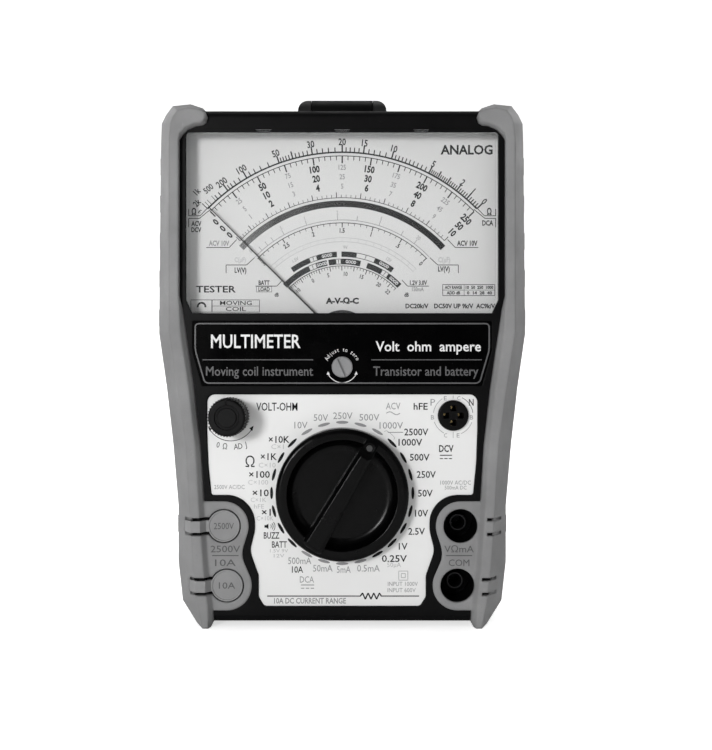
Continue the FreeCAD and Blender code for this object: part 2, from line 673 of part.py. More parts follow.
def make_dial():
    body = new_body("dial_plate")
    half, low, high, cut = size("dial_half"), size("dial_low"), size("dial_high"), 6.0
    front = -size("dial_depth")
    sheet = mirrored([(half - cut, low, 1.0), (half, low + cut, 1.0), (half, high, 2.0)])
    pad(body, [("outline", sheet)], front - size("dial_thick"), "dims.dial_thick")
    pocket(body, round_holes("dims.small_hole", DIAL_POSTS), front, 2.0)
    return body


def make_plates():
    plate = new_body("name_plate")
    pad(plate, [("outline", name_outline())], "dims.face_proud - dims.name_seat", "dims.plate_thick")
    pocket(plate, [("circle", 2.7, 0, size("zero_z"))], 5.0, 10.0)
    panel = new_body("control_panel")
    pad(panel, [("outline", panel_outline())], "-dims.panel_thick", "dims.panel_thick")
    pocket(panel, [("circle", 5.4, 0, size("knob_z")),
                   ("circle", 3.4, -size("ohm_x"), size("ohm_z")),
                   ("circle", "dims.socket_radius + dims.gap", size("socket_x"), size("socket_z"))], 2.0, 4.0)
    return [plate, panel]


# ----------------------------------------------------------------------------------------------
# Knobs and the transistor socket
# ----------------------------------------------------------------------------------------------
def make_selector_knob():
    """Dished knob with a tapering bar handle; drawn with the bar along local Y, then turned."""
    body = new_body("selector_knob", 0, 0, size("knob_z"))
    body.Placement = body.Placement.multiply(
        FreeCAD.Placement(V(), FreeCAD.Rotation(V(0, 0, 1), -size("knob_turn"))))
    radius, ring, floor, low = size("knob_radius"), size("ring_height"), size("bowl_floor"), size("knob_gap")
    bowl, shaft, spigot = size("bowl_radius"), size("shaft_radius"), size("spigot_radius")
    shoulder, tip = -5.4, -size("rotor_back") - 0.4
    revolve(body,
            [(0, tip), (spigot, tip), (spigot, shoulder), (shaft, shoulder), (shaft, low), (radius, low),
                   (radius, ring, 1.6), (bowl, ring, 0.4), (bowl - 0.9, floor, size("bowl_round")),
             (0, floor)])
    bar = [(-3.5, -19.0, 1.5), (3.5, -19.6, 1.5), (2.1, 19.8, 1.5), (-2.1, 19.8, 1.5)]
    handle = pad(body, [("outline", bar)], "dims.bowl_floor - 0.5",
                 "dims.knob_height - dims.bowl_floor + 0.5")
    dress(body, "Chamfer", handle, size("knob_height"), 1.0)
    top = size("knob_height")
    sketch = new_sketch(body, -6.0, "YZ_Plane")
    outline(sketch,
            [(13.6, top + 0.1), (14.6, top - 0.9), (20.5, ring + 0.5), (20.5, top + 2), (13.6, top + 2)])
    prism(body, "Pocket", sketch, 12.0, True)
    pocket(body, [("circle", 1.55, 0, size("dot_reach"))], top, 2.6)
    return body


def make_knob_dot():
    body = new_body("knob_dot", 0, 0, size("knob_z"))
    body.Placement = body.Placement.multiply(
        FreeCAD.Placement(V(), FreeCAD.Rotation(V(0, 0, 1), -size("knob_turn"))))
    pad(body, [("circle", 0.95, 0, size("dot_reach"))], size("knob_height") - 2.6, 0.5)
    return body


def make_rotor():
    """Contact rotor pressed on the knob's spigot, with radial bores for two detent balls."""
    body = new_body("selector_rotor", 0, 0, size("knob_z"))
    front, back, hub, hub_tall = -size("rotor_front"), -size("rotor_back"), 5.6, 2.6
    ball_bore, bore_deep = 1.15, 9.0
    pad(body, [("circle", "dims.rotor_radius"), ("circle", "dims.spigot_radius")], back, front - back)
    pad(body, [("circle", hub), ("circle", "dims.spigot_radius")], front, hub_tall)
    pocket(body, [("rect", -2.0, -15.0, 2.0, -7.0, 1.0), ("rect", -13.0, 3.0, -7.0, 7.0, 1.0),
                  ("rect", 7.0, 3.0, 13.0, 7.0, 1.0)], front + 1, 10.0)
    for start in (-size("rotor_radius") - 0.5, size("rotor_radius") + 0.5 - bore_deep):
        sketch = new_sketch(body, start, "YZ_Plane")
        circle(sketch, ball_bore, 0, (front + back) / 2)
        prism(body, "Pocket", sketch, bore_deep, True)
    return body


def coil_spring(label, length, pitch, radius, wire, placement):
    """Helical wire spring that grows along its placement's Z axis."""
    coil = Part.Wire(Part.makeHelix(pitch, length, radius).Edges)
    profile = Part.Wire([Part.makeCircle(wire, V(radius, 0, 0), V(0, 1, 0))])
    return feature(label, coil.makePipeShell([profile], True, True), placement)


def make_detents():
    """Two steel balls pushed outwards by springs towards the notched ring."""
    depth = (size("rotor_front") + size("rotor_back")) / 2
    reach, start, length, pitch, coil, wire = 18.75, 10.2, 7.3, 1.05, 0.8, 0.14
    balls, springs = [], []
    for side in (1, -1):
        ball = doc.addObject("Part::Sphere", "detent_ball")
        ball.Radius = 1.1
        ball.Placement = FreeCAD.Placement(V(side * reach, PANEL_Y + depth, size("knob_z")),
                                           FreeCAD.Rotation())
        balls.append(ball)
        place = FreeCAD.Placement(V(side * start, PANEL_Y + depth, size("knob_z")),
                                  FreeCAD.Rotation(V(0, 1, 0), 90 * side))
        springs.append(coil_spring("detent_spring", length, pitch, coil, wire, place))
    return [group("detent_balls", balls), group("detent_springs", springs)]


def make_wipers():
    """Three sprung contact strips on the back of the rotor, each with three contact studs."""
    body = new_body("rotor_wipers", 0, 0, size("knob_z"))
    back, thick, lift, stud = -size("rotor_back"), 0.3, 0.05, 0.7
    reach = size("board_depth") + back
    angles = (90, 210, 330)
    strip = [(7.5, -0.8), (17.0, -0.8), (17.0, 0.8), (7.5, 0.8)]
    pad(body, [("outline", turned_about(strip, angle)) for angle in angles], back - thick, thick)
    pieces = [body]
    for angle in angles:
        for x, y in turned_about([(9.0, 0.0), (12.5, 0.0), (16.0, 0.0)], angle):
            pieces.append(cylinder("wiper_contact", stud, reach - thick - lift, x, size("board_depth") - lift,
                                   size("knob_z") + y))
    return fuse("wipers", pieces)


def make_ohm_knob():
    body = new_body("ohm_knob", -size("ohm_x"), 0, size("ohm_z"))
    radius, top, count = size("ohm_radius"), size("ohm_height"), int(size("ohm_teeth"))
    shaft = size("pot_radius")
    low, tip, groove = 0.3, -8.0, 3.4
    revolve(body, [(0, tip), (shaft, tip), (shaft, low), (radius - 0.3, low), (radius - 0.3, top, 0.7),
                   (groove + 0.5, top), (groove + 0.3, top - 0.5), (groove - 0.3, top - 0.5),
                   (groove - 0.5, top),
                   (0, top)])
    teeth = []
    for i in range(count):
        for share, r in ((-0.25, radius - 0.35), (-0.1, radius), (0.1, radius), (0.25, radius - 0.35)):
            turn = 2 * math.pi * (i + share) / count
            teeth.append((r * math.cos(turn), r * math.sin(turn)))
    pad(body, [("outline", teeth)], low, top - low - 1.1)
    pocket(body, [("rect", -0.45, 3.9, 0.45, 5.3)], top, 0.5)
    return body


def make_pot():
    """Body of the zero-ohm potentiometer behind the front wall."""
    body = new_body("potentiometer", -size("ohm_x"), 0, size("ohm_z"))
    half, back, front = 5.6, -9.6, -3.0
    pad(body, [("rect", -half, -half, half, half, 1.0)], back, front - back)
    pocket(body, [("circle", "dims.pot_radius + dims.running")], front, 5.2)
    return body


def make_socket():
    """Round socket for small transistors, with four contact pins that run back to the board."""
    body = new_body("transistor_socket", size("socket_x"), 0, size("socket_z"))
    radius, back, face, slot, pin = size("socket_radius"), -9.0, 1.3, 0.95, 0.45
    flange, flange_front = size("socket_radius") + 1.4, INNER_FRONT - 0.01
    revolve(body,
            [(0, back), (flange, back), (flange, flange_front), (radius, flange_front), (radius, face, 0.5),
                   (0, face)])
    slots = [("rect", x - slot, y - slot, x + slot, y + slot, 0.2) for x, y in SOCKET_PINS]
    pocket(body, slots, face + 1, face + 8.0)
    pocket(body, round_holes(pin, SOCKET_PINS), -6.0, 6.0)
    pins = [cylinder("socket_contact", pin, 7.4, size("socket_x") + x, 13.8, size("socket_z") + y)
            for x, y in SOCKET_PINS]
    return [body, group("socket_contacts", pins)]


def make_zero_screw():
    """Screw that sets the rest of the pointer; its off-centre pin works the zero lever."""
    body = new_body("zero_screw", 0, 0, size("zero_z"))
    radius, shank, under, crown, pin = size("zero_radius"), 2.5, FACE + 0.12, FACE + 1.6, 0.6
    revolve(body,
            [(0, INNER_FRONT), (shank, INNER_FRONT), (shank, under), (radius, under), (radius, crown, 0.5),
                   (0, crown)])
    pad(body, [("circle", pin, 0, size("zero_throw"))], INNER_FRONT - 1.0, 1.0)
    slot = turned_about([(-4, -0.45), (4, -0.45), (4, 0.45), (-4, 0.45)], -66)
    pocket(body, [("outline", slot)], crown, 0.9)
    return body


# ----------------------------------------------------------------------------------------------
# Moving-coil movement, drawn round the pivot
# ----------------------------------------------------------------------------------------------
def at_pivot(label):
    return new_body(label, 0, 0, size("pivot_z"))


def make_magnet_system():
    """Fixed core magnet, the soft iron ring round it and the two spacers that hold it in the ring."""
    front, back = -size("yoke_front"), -size("yoke_back")
    core = at_pivot("core_magnet")
    pad(core, [("circle", "dims.core_radius")], back, front - back)
    yoke = at_pivot("yoke_ring")
    pad(yoke, [("circle", "dims.yoke_radius"), ("circle", "dims.gap_radius")], back, front - back)
    place = at(0, size("yoke_back"), size("pivot_z"))
    spacers = [feature("core_spacer", spacer(way, front - back), place) for way in (1, -1)]
    return [core, yoke, group("core_spacers", spacers)]


def spacer(way, length):
    """Bar that bridges the gap between core and ring; way is 1 above the core and -1 below it."""
    half, near, far = 1.4, size("core_radius"), size("gap_radius")
    near_y, far_y = math.sqrt(near ** 2 - half ** 2), math.sqrt(far ** 2 - half ** 2)
    ends = [V(x, way * y, 0) for x, y in ((-half, near_y), (half, near_y), (half, far_y), (-half, far_y))]
    wire = Part.Wire([Part.Arc(ends[0], V(0, way * near, 0), ends[1]).toShape(),
                      Part.makeLine(ends[1], ends[2]),
                      Part.Arc(ends[2], V(0, way * far, 0), ends[3]).toShape(),
                      Part.makeLine(ends[3], ends[0])])
    return Part.Face(wire).extrude(V(0, 0, length))


def make_base():
    """Moulded base of the movement with posts for the dial and the two bridges."""
    base = at_pivot("movement_base")
    back, dial_back = -size("yoke_back"), -size("dial_depth") - size("dial_thick")
    thick, skirt, skirt_tall, post = 2.0, 18.6, 4.0, 2.2
    z = size("pivot_z")
    posts = [(x, post_z - z) for x, post_z in DIAL_POSTS]
    bosses = [(x, boss_z - z) for x, boss_z in MOVEMENT_BOSSES]
    plate = mirrored([(38.5, -9.0, 3.0), (38.5, 2.0, 3.0), (28.5, 12.0, 3.0)])
    pad(base, [("outline", plate)], back - thick, thick)
    pad(base, [("circle", skirt), ("circle", "dims.yoke_radius")], back, skirt_tall)
    pad(base, round_holes(post, posts), back, dial_back - back)
    pocket(base, [("circle", "dims.gap_radius + 0.8")], back + 1, 6.0)
    pocket(base, round_holes("dims.small_hole", bosses), back + 1, 6.0)
    pocket(base, round_holes(0.8, posts), dial_back, 6.0)
    return base


def make_bridges():
    """Bridges in front of the coil and behind it, and the jewel screws that carry its pivots."""
    jewel, post, half_bar, thick = 1.5, 1.9, 2.4, 0.8
    front_back, rear_back, rear_thick = -4.3, -28.0, 1.2
    base_back = -size("yoke_back") - 2.0
    front = at_pivot("front_bridge")
    pad(front, [("circle", "dims.cover_radius")], front_back, thick)
    pad(front, [("rect", -16.2, -half_bar, 16.2, half_bar, 2.0)], front_back, thick)
    pad(front, round_holes(post, [(14.0, 0), (-14.0, 0)]), "-dims.yoke_front",
        size("yoke_front") + front_back)
    pocket(front, [("circle", jewel)], 0.0, 6.0)
    rear = at_pivot("rear_bridge")
    pad(rear, [("rect", -15.5, -half_bar, 15.5, half_bar, 2.0)], rear_back, rear_thick)
    pad(rear, round_holes(post, [(13.5, 0), (-13.5, 0)]), rear_back + 1, base_back - rear_back - 1)
    pocket(rear, [("circle", jewel)], -20.0, 12.0)
    return [front, rear, group("jewel_screws", make_jewel_screws(jewel))]


def make_jewel_screws(radius):
    """One screw in each bridge, cupped where the pivot runs."""
    front_level, front_tall, rear_level, rear_tall, cup = -4.5, 1.9, -28.9, 3.0, 0.5
    front = at_pivot("jewel_screw")
    pad(front, [("circle", radius)], front_level, front_tall)
    pocket(front, [("circle", cup)], front_level + 0.8, 2.0)
    pocket(front, [("rect", -2.0, -0.2, 2.0, 0.2)], front_level + front_tall, 0.4)
    rear = at_pivot("jewel_screw")
    pad(rear, [("circle", radius)], rear_level, rear_tall)
    pocket(rear, [("circle", cup)], rear_level + rear_tall, 0.8)
    return [front, rear]


def make_moving_coil():
    """Coil frame, winding, staffs, pointer and balance arms, drawn with the pointer straight up."""
    turn = FreeCAD.Placement(V(), FreeCAD.Rotation(V(0, 0, 1), size("pointer_rest")))

    def mover(label):
        body = at_pivot(label)
        body.Placement = body.Placement.multiply(turn)
        return body

    frame = mover("coil_frame")
    former, inside = ("rect", -9.2, -23.6, 9.2, -10.4, 0.6), ("rect", -8.6, -23.0, 8.6, -11.0, 0.4)
    rib(frame, [former, inside], 0, 3.4)
    winding = mover("coil_winding")
    rib(winding, [("rect", -9.9, -24.3, 9.9, -9.7, 0.8), former], 0, 2.6)
    staff, pivot, disc = 0.8, 0.42, 2.0
    front_staff, rear_staff = mover("front_staff"), mover("rear_staff")
    revolve(front_staff, [(0, -9.7), (disc, -9.7), (disc, -9.3), (staff, -9.3), (staff, -4.6), (pivot, -4.6),
                          (pivot, -4.0), (0, -3.8)])
    revolve(rear_staff, [(0, -26.5), (pivot, -26.3), (pivot, -25.8), (staff, -25.8), (staff, -24.7),
                         (disc, -24.7), (disc, -24.3), (0, -24.3)])
    pointer = mover("pointer")
    blade = [(-0.7, 0), (0.7, 0), (0.28, 12.0), (0.14, size("pointer_len")), (-0.14, size("pointer_len")),
             (-0.28, 12.0)]
    pad(pointer, [("outline", blade)], -5.3, 0.5)
    pad(pointer, [("circle", 2.3)], -5.6, 0.9)
    pocket(pointer, [("circle", staff)], 0.0, 8.0)
    arms = mover("balance_arms")
    half, span, tail = 0.5, 6.2, 8.6
    cross = [(-half, -tail), (half, -tail), (half, -half), (span, -half), (span, half), (-span, half),
             (-span, -half), (-half, -half)]
    weights = [("circle", 1.7, 0, 0), ("circle", 1.2, 0, -8.0), ("circle", 0.9, 5.6, 0),
               ("circle", 0.9, -5.6, 0)]
    pad(arms, [("outline", cross)], -6.3, 0.6)
    pad(arms, weights, -6.6, 0.95)
    pocket(arms, [("circle", staff)], 0.0, 10.0)
    return [frame, winding, group("pivot_staffs", [front_staff, rear_staff]), pointer, arms]


def make_hairsprings():
    """Flat spiral springs in front of the coil and behind it."""
    turns, steps, start, pitch, thick, tall = 3, 24, 1.5, 0.8, 0.16, 0.5

    def spiral(offset):
        points = []
        for step in range(turns * steps + 1):
            angle, radius = 2 * math.pi * step / steps, start + offset + pitch * step / steps
            points.append(V(radius * math.cos(angle), radius * math.sin(angle), 0))
        curve = Part.BSplineCurve()
        curve.interpolate(points)
        return curve.toShape(), points[0], points[-1]

    inner, inner_start, inner_end = spiral(0.0)
    outer, outer_start, outer_end = spiral(thick)
    wire = Part.Wire([inner, Part.makeLine(inner_end, outer_end), outer,
                      Part.makeLine(outer_start, inner_start)])
    springs = []
    for level in (-8.6, -25.4):
        strip = Part.Face(wire).extrude(V(0, 0, tall))
        springs.append(feature("hairspring", strip, at(0, -level, size("pivot_z"))))
    return group("hairsprings", springs)


def make_zero_lever():
    """Lever whose fork is worked by the pin of the zero screw; it shifts the front hairspring's anchor."""
    body = at_pivot("zero_lever")
    drop = size("pivot_z") - size("zero_z")
    level, thick, ring, outside, inside, prong = -3.4, 0.7, 3.2, 1.6, 0.72, 2.5
    pad(body, [("circle", ring), ("circle", 1.5 + size("running"))], level, thick)
    right = [(outside, -drop - prong, 0.4), (outside, -2.9), (-outside, -2.9), (-outside, -drop - prong, 0.4)]
    fork = [(-inside, -drop - prong), (-inside, -drop + prong), (inside, -drop + prong),
            (inside, -drop - prong)]
    pad(body, [("outline", right + fork)], level, thick)
    return body


# ----------------------------------------------------------------------------------------------
# Jacks, circuit board and what it carries
# ----------------------------------------------------------------------------------------------
def make_sleeves():
    """Turned sleeves that take the plugs of the test leads."""
    sleeves = []
    front, back = -size("sleeve_front"), -size("sleeve_back")
    bore, radius = size("jack_bore"), size("sleeve_radius")
    for name, (x, z) in JACKS.items():
        sleeve = new_body("jack_sleeve_" + name, x, 0, z)
        revolve(sleeve,
                [(0, back), (radius, back), (radius, front, 0.4), (bore + 0.25, front), (bore, front - 0.4),
                         (bore, back + 1.0), (0, back + 1.0)])
        sleeves.append(sleeve)
    return sleeves


def make_board():
    """Circuit board: narrow between the jack cups, full width above them."""
    body = new_body("circuit_board")
    back = -size("board_depth") - size("board_thick")
    outside = mirrored([(28.5, 12.0, 1.0), (29.0, 41.0, 1.0), (42.5, 41.0, 1.0), (44.0, 62.0, 2.0),
                        (44.0, 73.0, 2.0)])
    pins = [(size("socket_x") + x, size("socket_z") + y) for x, y in SOCKET_PINS]
    pad(body, [("outline", outside)], back, "dims.board_thick")
    pocket(body, [("circle", 3.1, 0, size("knob_z"))], 0.0, 20.0)
    pocket(body, round_holes(0.5, pins), 0.0, 20.0)
    return body


def make_tracks():
    """Concentric contact tracks of the selector on the front of the board."""
    body = new_body("selector_tracks", 0, size("board_depth"), size("knob_z"))
    pad(body, [("circle", radius) for radius in (8.2, 9.8, 11.7, 13.3)], 0.0, 0.04)
    return body


def make_components():
    """Fuse, buzzer, precision resistors and the 10 A shunt on the circuit board."""
    return make_fuse() + [make_buzzer(), make_resistors(), make_shunt()]


ALONG_X = FreeCAD.Rotation(V(0, 1, 0), 90)


def make_fuse():
    """Glass fuse lying in two clips on the front of the board."""
    deck, depth, z, tube, end = size("board_depth"), 8.9, 69.2, 2.5, 2.6
    glass = cylinder("fuse_tube", tube, 15.0, -7.5, depth, z, ALONG_X)
    ends = [cylinder("fuse_end", end, 2.5, x, depth, z, ALONG_X) for x in (-10.0, 7.5)]
    clips = []
    for x in (-8.7, 8.7):
        base = block("clip_base", 2.0, 7.2, deck - depth, x, deck, z)
        bed = cylinder("clip_bed", end, 4.0, x - 2.0, depth, z, ALONG_X)
        clips.append(boolean("Cut", "fuse_clip", base, bed))
    return [glass, group("fuse_ends", ends), group("fuse_clips", clips)]


def make_buzzer():
    body = new_body("buzzer", 27.0, 0, 54.5)
    deck, radius, tall, port = -size("board_depth"), 6.0, 6.0, 0.9
    revolve(body, [(0, deck), (radius, deck), (radius, deck + tall, 0.4), (port, deck + tall),
                   (port, deck + tall - 1.5), (0, deck + tall - 1.5)])
    return body


def make_resistors():
    """Row of range resistors, each a dog-bone body with two leads."""
    lead, waist, bulb, x, depth = 0.35, 1.0, 1.2, -33.0, size("board_depth") - 1.5
    section = [(0, -5.5), (lead, -5.5), (lead, -3.2), (bulb, -3.2), (bulb, -1.8), (waist, -1.6)]
    profile = section + [(r, -level) for r, level in reversed(section)]
    resistors = []
    for z in (44.0, 47.6, 51.2, 54.8, 58.4):
        resistor = new_body("resistor")
        resistor.Placement = FreeCAD.Placement(V(x, PANEL_Y + depth, z), ALONG_X)
        revolve(resistor, profile)
        resistors.append(resistor)
    return group("resistors", resistors)


def make_shunt():
    """Thick wire loop that carries the 10 A range."""
    body = new_body("shunt_wire", 35.5, 0, 0)
    low, high, deck, wire, tall = 44.0, 54.0, -size("board_depth"), 0.9, 4.8
    foot = 1.6
    sketch = new_sketch(body, -wire, "YZ_Plane")
    outline(sketch, [(low, deck), (low + foot, deck), (low + foot, deck + tall - foot, 0.6),
                     (high - foot, deck + tall - foot, 0.6), (high - foot, deck), (high, deck),
                     (high, deck + tall, 1.4), (low, deck + tall, 1.4)])
    prism(body, "Pad", sketch, 2 * wire)
    return body


def make_batteries():
    """One 9 V block, two AA cells and the contacts of the cells in the battery box."""
    low, high, radius, length = size("box_low"), size("box_high"), size("cell_radius"), size("cell_length")
    middle, plate = 16.9, 0.4
    spring_tall = high - low - length - 2 * plate
    nine = new_body("battery_9v", middle, 0, 0)
    half, stand_off, thick, tall = 13.1, 2.3, 16.3, 46.4
    base = low + 1.6
    pad(nine, [("rect", -half, base, half, base + tall, 2.0)], BACK + stand_off, thick)
    for x, stud in ((-6.3, 2.9), (6.3, 3.4)):
        rib(nine, [("circle", stud, x, BACK + stand_off + thick / 2)], base + tall + 1.4, 3.2)
    cells, contacts = [], []
    for x, way in ((-22.6, 1), (-7.2, -1)):
        cell = new_body("battery_cell")
        centre = (low + high) / 2 + way * spring_tall / 2
        cell.Placement = FreeCAD.Placement(V(x, PANEL_Y + size("cell_depth"), centre),
                                           FreeCAD.Rotation(V(1, 0, 0), 0 if way > 0 else 180))
        end = length / 2
        revolve(cell, [(0, -end), (radius - 0.7, -end), (radius, -end + 0.6), (radius, end - 1.8, 0.5),
                       (2.7, end - 1.8), (2.7, end), (0, end)])
        cells.append(cell)
        for z in (low + plate / 2, high - plate / 2):
            contacts.append(block("cell_contact", 9.0, plate, 9.0, x, 31.8, z))
        foot = low + plate if way > 0 else high - plate
        contacts.append(leaf_spring(x, foot, way * (spring_tall - 0.05)))
    return [nine, group("battery_cells", cells), group("battery_contacts", contacts)]


def leaf_spring(x, foot, reach):
    """Bent strip that stands on a contact plate and presses on the flat end of a cell."""
    body = new_body("cell_spring", x, 0, 0)
    middle, half, tip, thick, wide = -size("cell_depth"), 3.2, 0.8, 0.4 * reach / abs(reach), 5.0
    crown, lifted = foot + reach, foot + 3 * thick
    sketch = new_sketch(body, -wide / 2, "YZ_Plane")
    outline(sketch,
            [(foot, middle - half), (crown, middle - tip), (crown, middle + tip), (lifted, middle + half),
                     (lifted - thick, middle + half), (crown - thick, middle + tip - 0.2),
                     (crown - thick, middle - tip + 0.2), (foot, middle - half + 0.4)])
    prism(body, "Pad", sketch, wide)
    return body


def make_cover():
    """Battery cover on the back, with four grip grooves and one screw hole."""
    body = new_body("battery_cover")
    low = size("cover_low")
    pad(body, upright(size("cover_half"), low, size("cover_high"), 0.0, 3.0), BACK, "dims.cover_thick")
    pocket(body, round_holes("dims.small_hole", COVER_SCREW), 0.0, 60.0)
    grooves = [("rect", -14.0, z, 14.0, z + 1.4, 0.6) for z in (low + 4.9 + 3.2 * i for i in range(4))]
    pocket(body, grooves, BACK, 0.6, turned=True)
    return body


def make_screw(label, x, z, tip, head, shank_radius, head_radius, head_tall):
    """Cross-slotted screw driven from the back; tip and head are levels, head being its outer face."""
    body = new_body(label, x, 0, z)
    under = head + head_tall
    revolve(body, [(0, head), (head_radius, head), (head_radius, under), (shank_radius, under),
                   (shank_radius, tip - 0.6), (shank_radius - 0.5, tip), (0, tip)])
    arm, half = head_radius - 0.5, 0.3
    cross = [(-arm, -half), (-half, -half), (-half, -arm), (half, -arm), (half, -half), (arm, -half),
             (arm, half), (half, half), (half, arm), (-half, arm), (-half, half), (-arm, half)]
    pocket(body, [("outline", cross)], head, 0.8, turned=True)
    return body


def make_screws():
    case = [make_screw("case_screw", x, z, -11.0, -34.2, size("case_pilot"), size("case_head"), 2.2)
            for x, z in CASE_BOSSES]
    movement = [make_screw("movement_screw", x, z, -14.0, -25.6, size("small_pilot"), 2.1, 1.6)
                for x, z in MOVEMENT_BOSSES]
    x, z = COVER_SCREW[0]
    cover = make_screw("cover_screw", x, z, -30.0, BACK - 0.9, size("small_pilot"), 2.2, 0.9)
    dial = [make_dial_screw(x, z) for x, z in DIAL_POSTS]
    return [group("case_screws", case), group("movement_screws", movement), cover, group("dial_screws", dial)]


def make_dial_screw(x, z):
    """Small slotted screw that holds the dial on its post."""
    screw = new_body("dial_screw", x, 0, z)
    face, shank, head, tall = -size("dial_depth"), 0.8, 1.7, 0.9
    revolve(screw,
            [(0, face - 5.0), (shank, face - 5.0), (shank, face), (head, face), (head, face + tall, 0.35),
                    (0, face + tall)])
    pocket(screw, [("rect", -2.0, -0.2, 2.0, 0.2)], face + tall, 0.4)
    return screw


def make_stand():
    """Folding stand and hanger on the back, shown folded, and the pin it turns on."""
    body = new_body("tilt_stand")
    z, level, half, low = size("hinge_z"), -size("hinge_depth"), size("stand_half"), size("stand_low")
    barrel = new_sketch(body, -half, "YZ_Plane")
    circle(barrel, "dims.hinge_radius", z, level)
    prism(body, "Pad", barrel, 2 * half)
    pad(body, [("rect", -half, low, half, z - 1.0, 2.0)], BACK + 0.1, "dims.stand_thick")
    pocket(body, [("rect", -5.5, low + 8, 5.5, z - 14.0, 3.0)], BACK + 5, 8.0)
    bore = new_sketch(body, -half - 1, "YZ_Plane")
    circle(bore, "dims.pin_radius + dims.running", z, level)
    prism(body, "Pocket", bore, 2 * half + 2, True)
    pin = cylinder("hinge_pin", "dims.pin_radius", "2 * dims.hinge_half - 1", -size("hinge_half") + 0.5,
                   size("hinge_depth"), z, ALONG_X)
    return [body, pin]


# ----------------------------------------------------------------------------------------------
# Assembly
# ----------------------------------------------------------------------------------------------
nodes = [make_front_case(), make_rear_case(), make_grip(1), make_grip(-1)]
nodes += [make_cap("cap_2500v", size("jack_top_x"), size("jack_top_z")),
          make_cap("cap_10a", size("jack_low_x"), size("jack_low_z"))]
nodes += [make_lens(), make_dial()] + make_plates()
nodes += [make_selector_knob(), make_knob_dot(), make_rotor(), make_wipers()] + make_detents()
nodes += [make_ohm_knob(), make_pot(), make_zero_screw()] + make_socket()
nodes += make_magnet_system() + [make_base()] + make_bridges() + make_moving_coil()
nodes += [make_hairsprings(), make_zero_lever()]
nodes += make_sleeves() + [make_board(), make_tracks()] + make_components()
nodes += make_batteries() + [make_cover()] + make_screws() + make_stand()
doc.recompute()

for item in doc.Objects:
    if "Invalid" in item.State or "Error" in item.State:
        raise RuntimeError(f"{item.Label} did not build: {item.State}")
os.makedirs("parts", exist_ok=True)
for node in nodes:
    if node.Shape.isNull() or not node.Shape.isValid():
        raise RuntimeError(f"{node.Label} has no valid shape")
    node.Shape.exportStep(f"parts/{node.Label}.step")
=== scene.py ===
import json
import math

import bmesh
import bpy
from mathutils import Matrix, Vector


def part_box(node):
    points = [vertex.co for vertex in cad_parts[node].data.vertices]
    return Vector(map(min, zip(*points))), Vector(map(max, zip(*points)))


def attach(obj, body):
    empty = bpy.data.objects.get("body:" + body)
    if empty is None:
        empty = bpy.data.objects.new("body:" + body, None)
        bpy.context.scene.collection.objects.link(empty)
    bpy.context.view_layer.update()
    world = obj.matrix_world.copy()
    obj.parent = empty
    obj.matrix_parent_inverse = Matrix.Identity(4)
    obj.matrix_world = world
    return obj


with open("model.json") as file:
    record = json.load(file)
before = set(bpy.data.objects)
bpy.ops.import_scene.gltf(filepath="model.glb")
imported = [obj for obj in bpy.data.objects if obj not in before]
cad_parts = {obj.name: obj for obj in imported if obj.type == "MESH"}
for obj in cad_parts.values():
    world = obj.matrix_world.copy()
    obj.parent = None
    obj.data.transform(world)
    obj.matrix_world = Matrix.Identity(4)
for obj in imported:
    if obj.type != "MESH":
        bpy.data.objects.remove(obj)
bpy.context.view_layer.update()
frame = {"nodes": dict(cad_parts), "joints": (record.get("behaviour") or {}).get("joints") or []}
nodes = frame["nodes"]
joints = {j["name"]: j for j in frame["joints"]}
MM = 0.001


# ---------------------------------------------------------------- places, all taken from the CAD
def front_of(node):
    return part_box(node)[0].y


def centre_of(node):
    low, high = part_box(node)
    return (low + high) / 2


PANEL = front_of("control_panel")
PIVOT_Z = joints["pointer_swing"]["pos_m"][2] / MM
KNOB_Z = joints["selector_turn"]["pos_m"][2] / MM
ZERO_Z = joints["zero_turn"]["pos_m"][2] / MM
OHM = (joints["ohm_turn"]["pos_m"][0] / MM, joints["ohm_turn"]["pos_m"][2] / MM)
SOCKET = (centre_of("transistor_socket").x / MM, centre_of("transistor_socket").z / MM)


# ---------------------------------------------------------------- materials
def new_material(name):
    material = bpy.data.materials.new(name)
    material.use_nodes = True
    tree = material.node_tree
    return material, tree, tree.nodes["Principled BSDF"]


def noise(tree, scale, detail=4.0, roughness=0.55, stretch=(1, 1, 1)):
    coords = tree.nodes.new("ShaderNodeTexCoord")
    mapping = tree.nodes.new("ShaderNodeMapping")
    mapping.inputs["Scale"].default_value = stretch
    texture = tree.nodes.new("ShaderNodeTexNoise")
    texture.inputs["Scale"].default_value = scale
    texture.inputs["Detail"].default_value = detail
    texture.inputs["Roughness"].default_value = roughness
    tree.links.new(coords.outputs["Object"], mapping.inputs["Vector"])
    tree.links.new(mapping.outputs["Vector"], texture.inputs["Vector"])
    return texture.outputs["Fac"]


def ramp(tree, source, stops):
    node = tree.nodes.new("ShaderNodeValToRGB")
    while len(node.color_ramp.elements) < len(stops):
        node.color_ramp.elements.new(0.5)
    for element, (position, colour) in zip(node.color_ramp.elements, stops):
        element.position = position
        element.color = (*colour, 1)
    tree.links.new(source, node.inputs["Fac"])
    return node.outputs["Color"]


def spread(tree, source, low, high, start=0.3, end=0.7):
    node = tree.nodes.new("ShaderNodeMapRange")
    for key, value in (("From Min", start), ("From Max", end), ("To Min", low), ("To Max", high)):
        node.inputs[key].default_value = value
    tree.links.new(source, node.inputs["Value"])
    return node.outputs["Result"]


def blended(tree, mask, tone, colour):
    """The tone where the mask is 0 and this colour where it is 1."""
    mix = tree.nodes.new("ShaderNodeMix")
    mix.data_type = "RGBA"
    tree.links.new(mask, mix.inputs["Factor"])
    tree.links.new(tone, mix.inputs[6])
    mix.inputs[7].default_value = (*colour, 1)
    return mix.outputs[2]


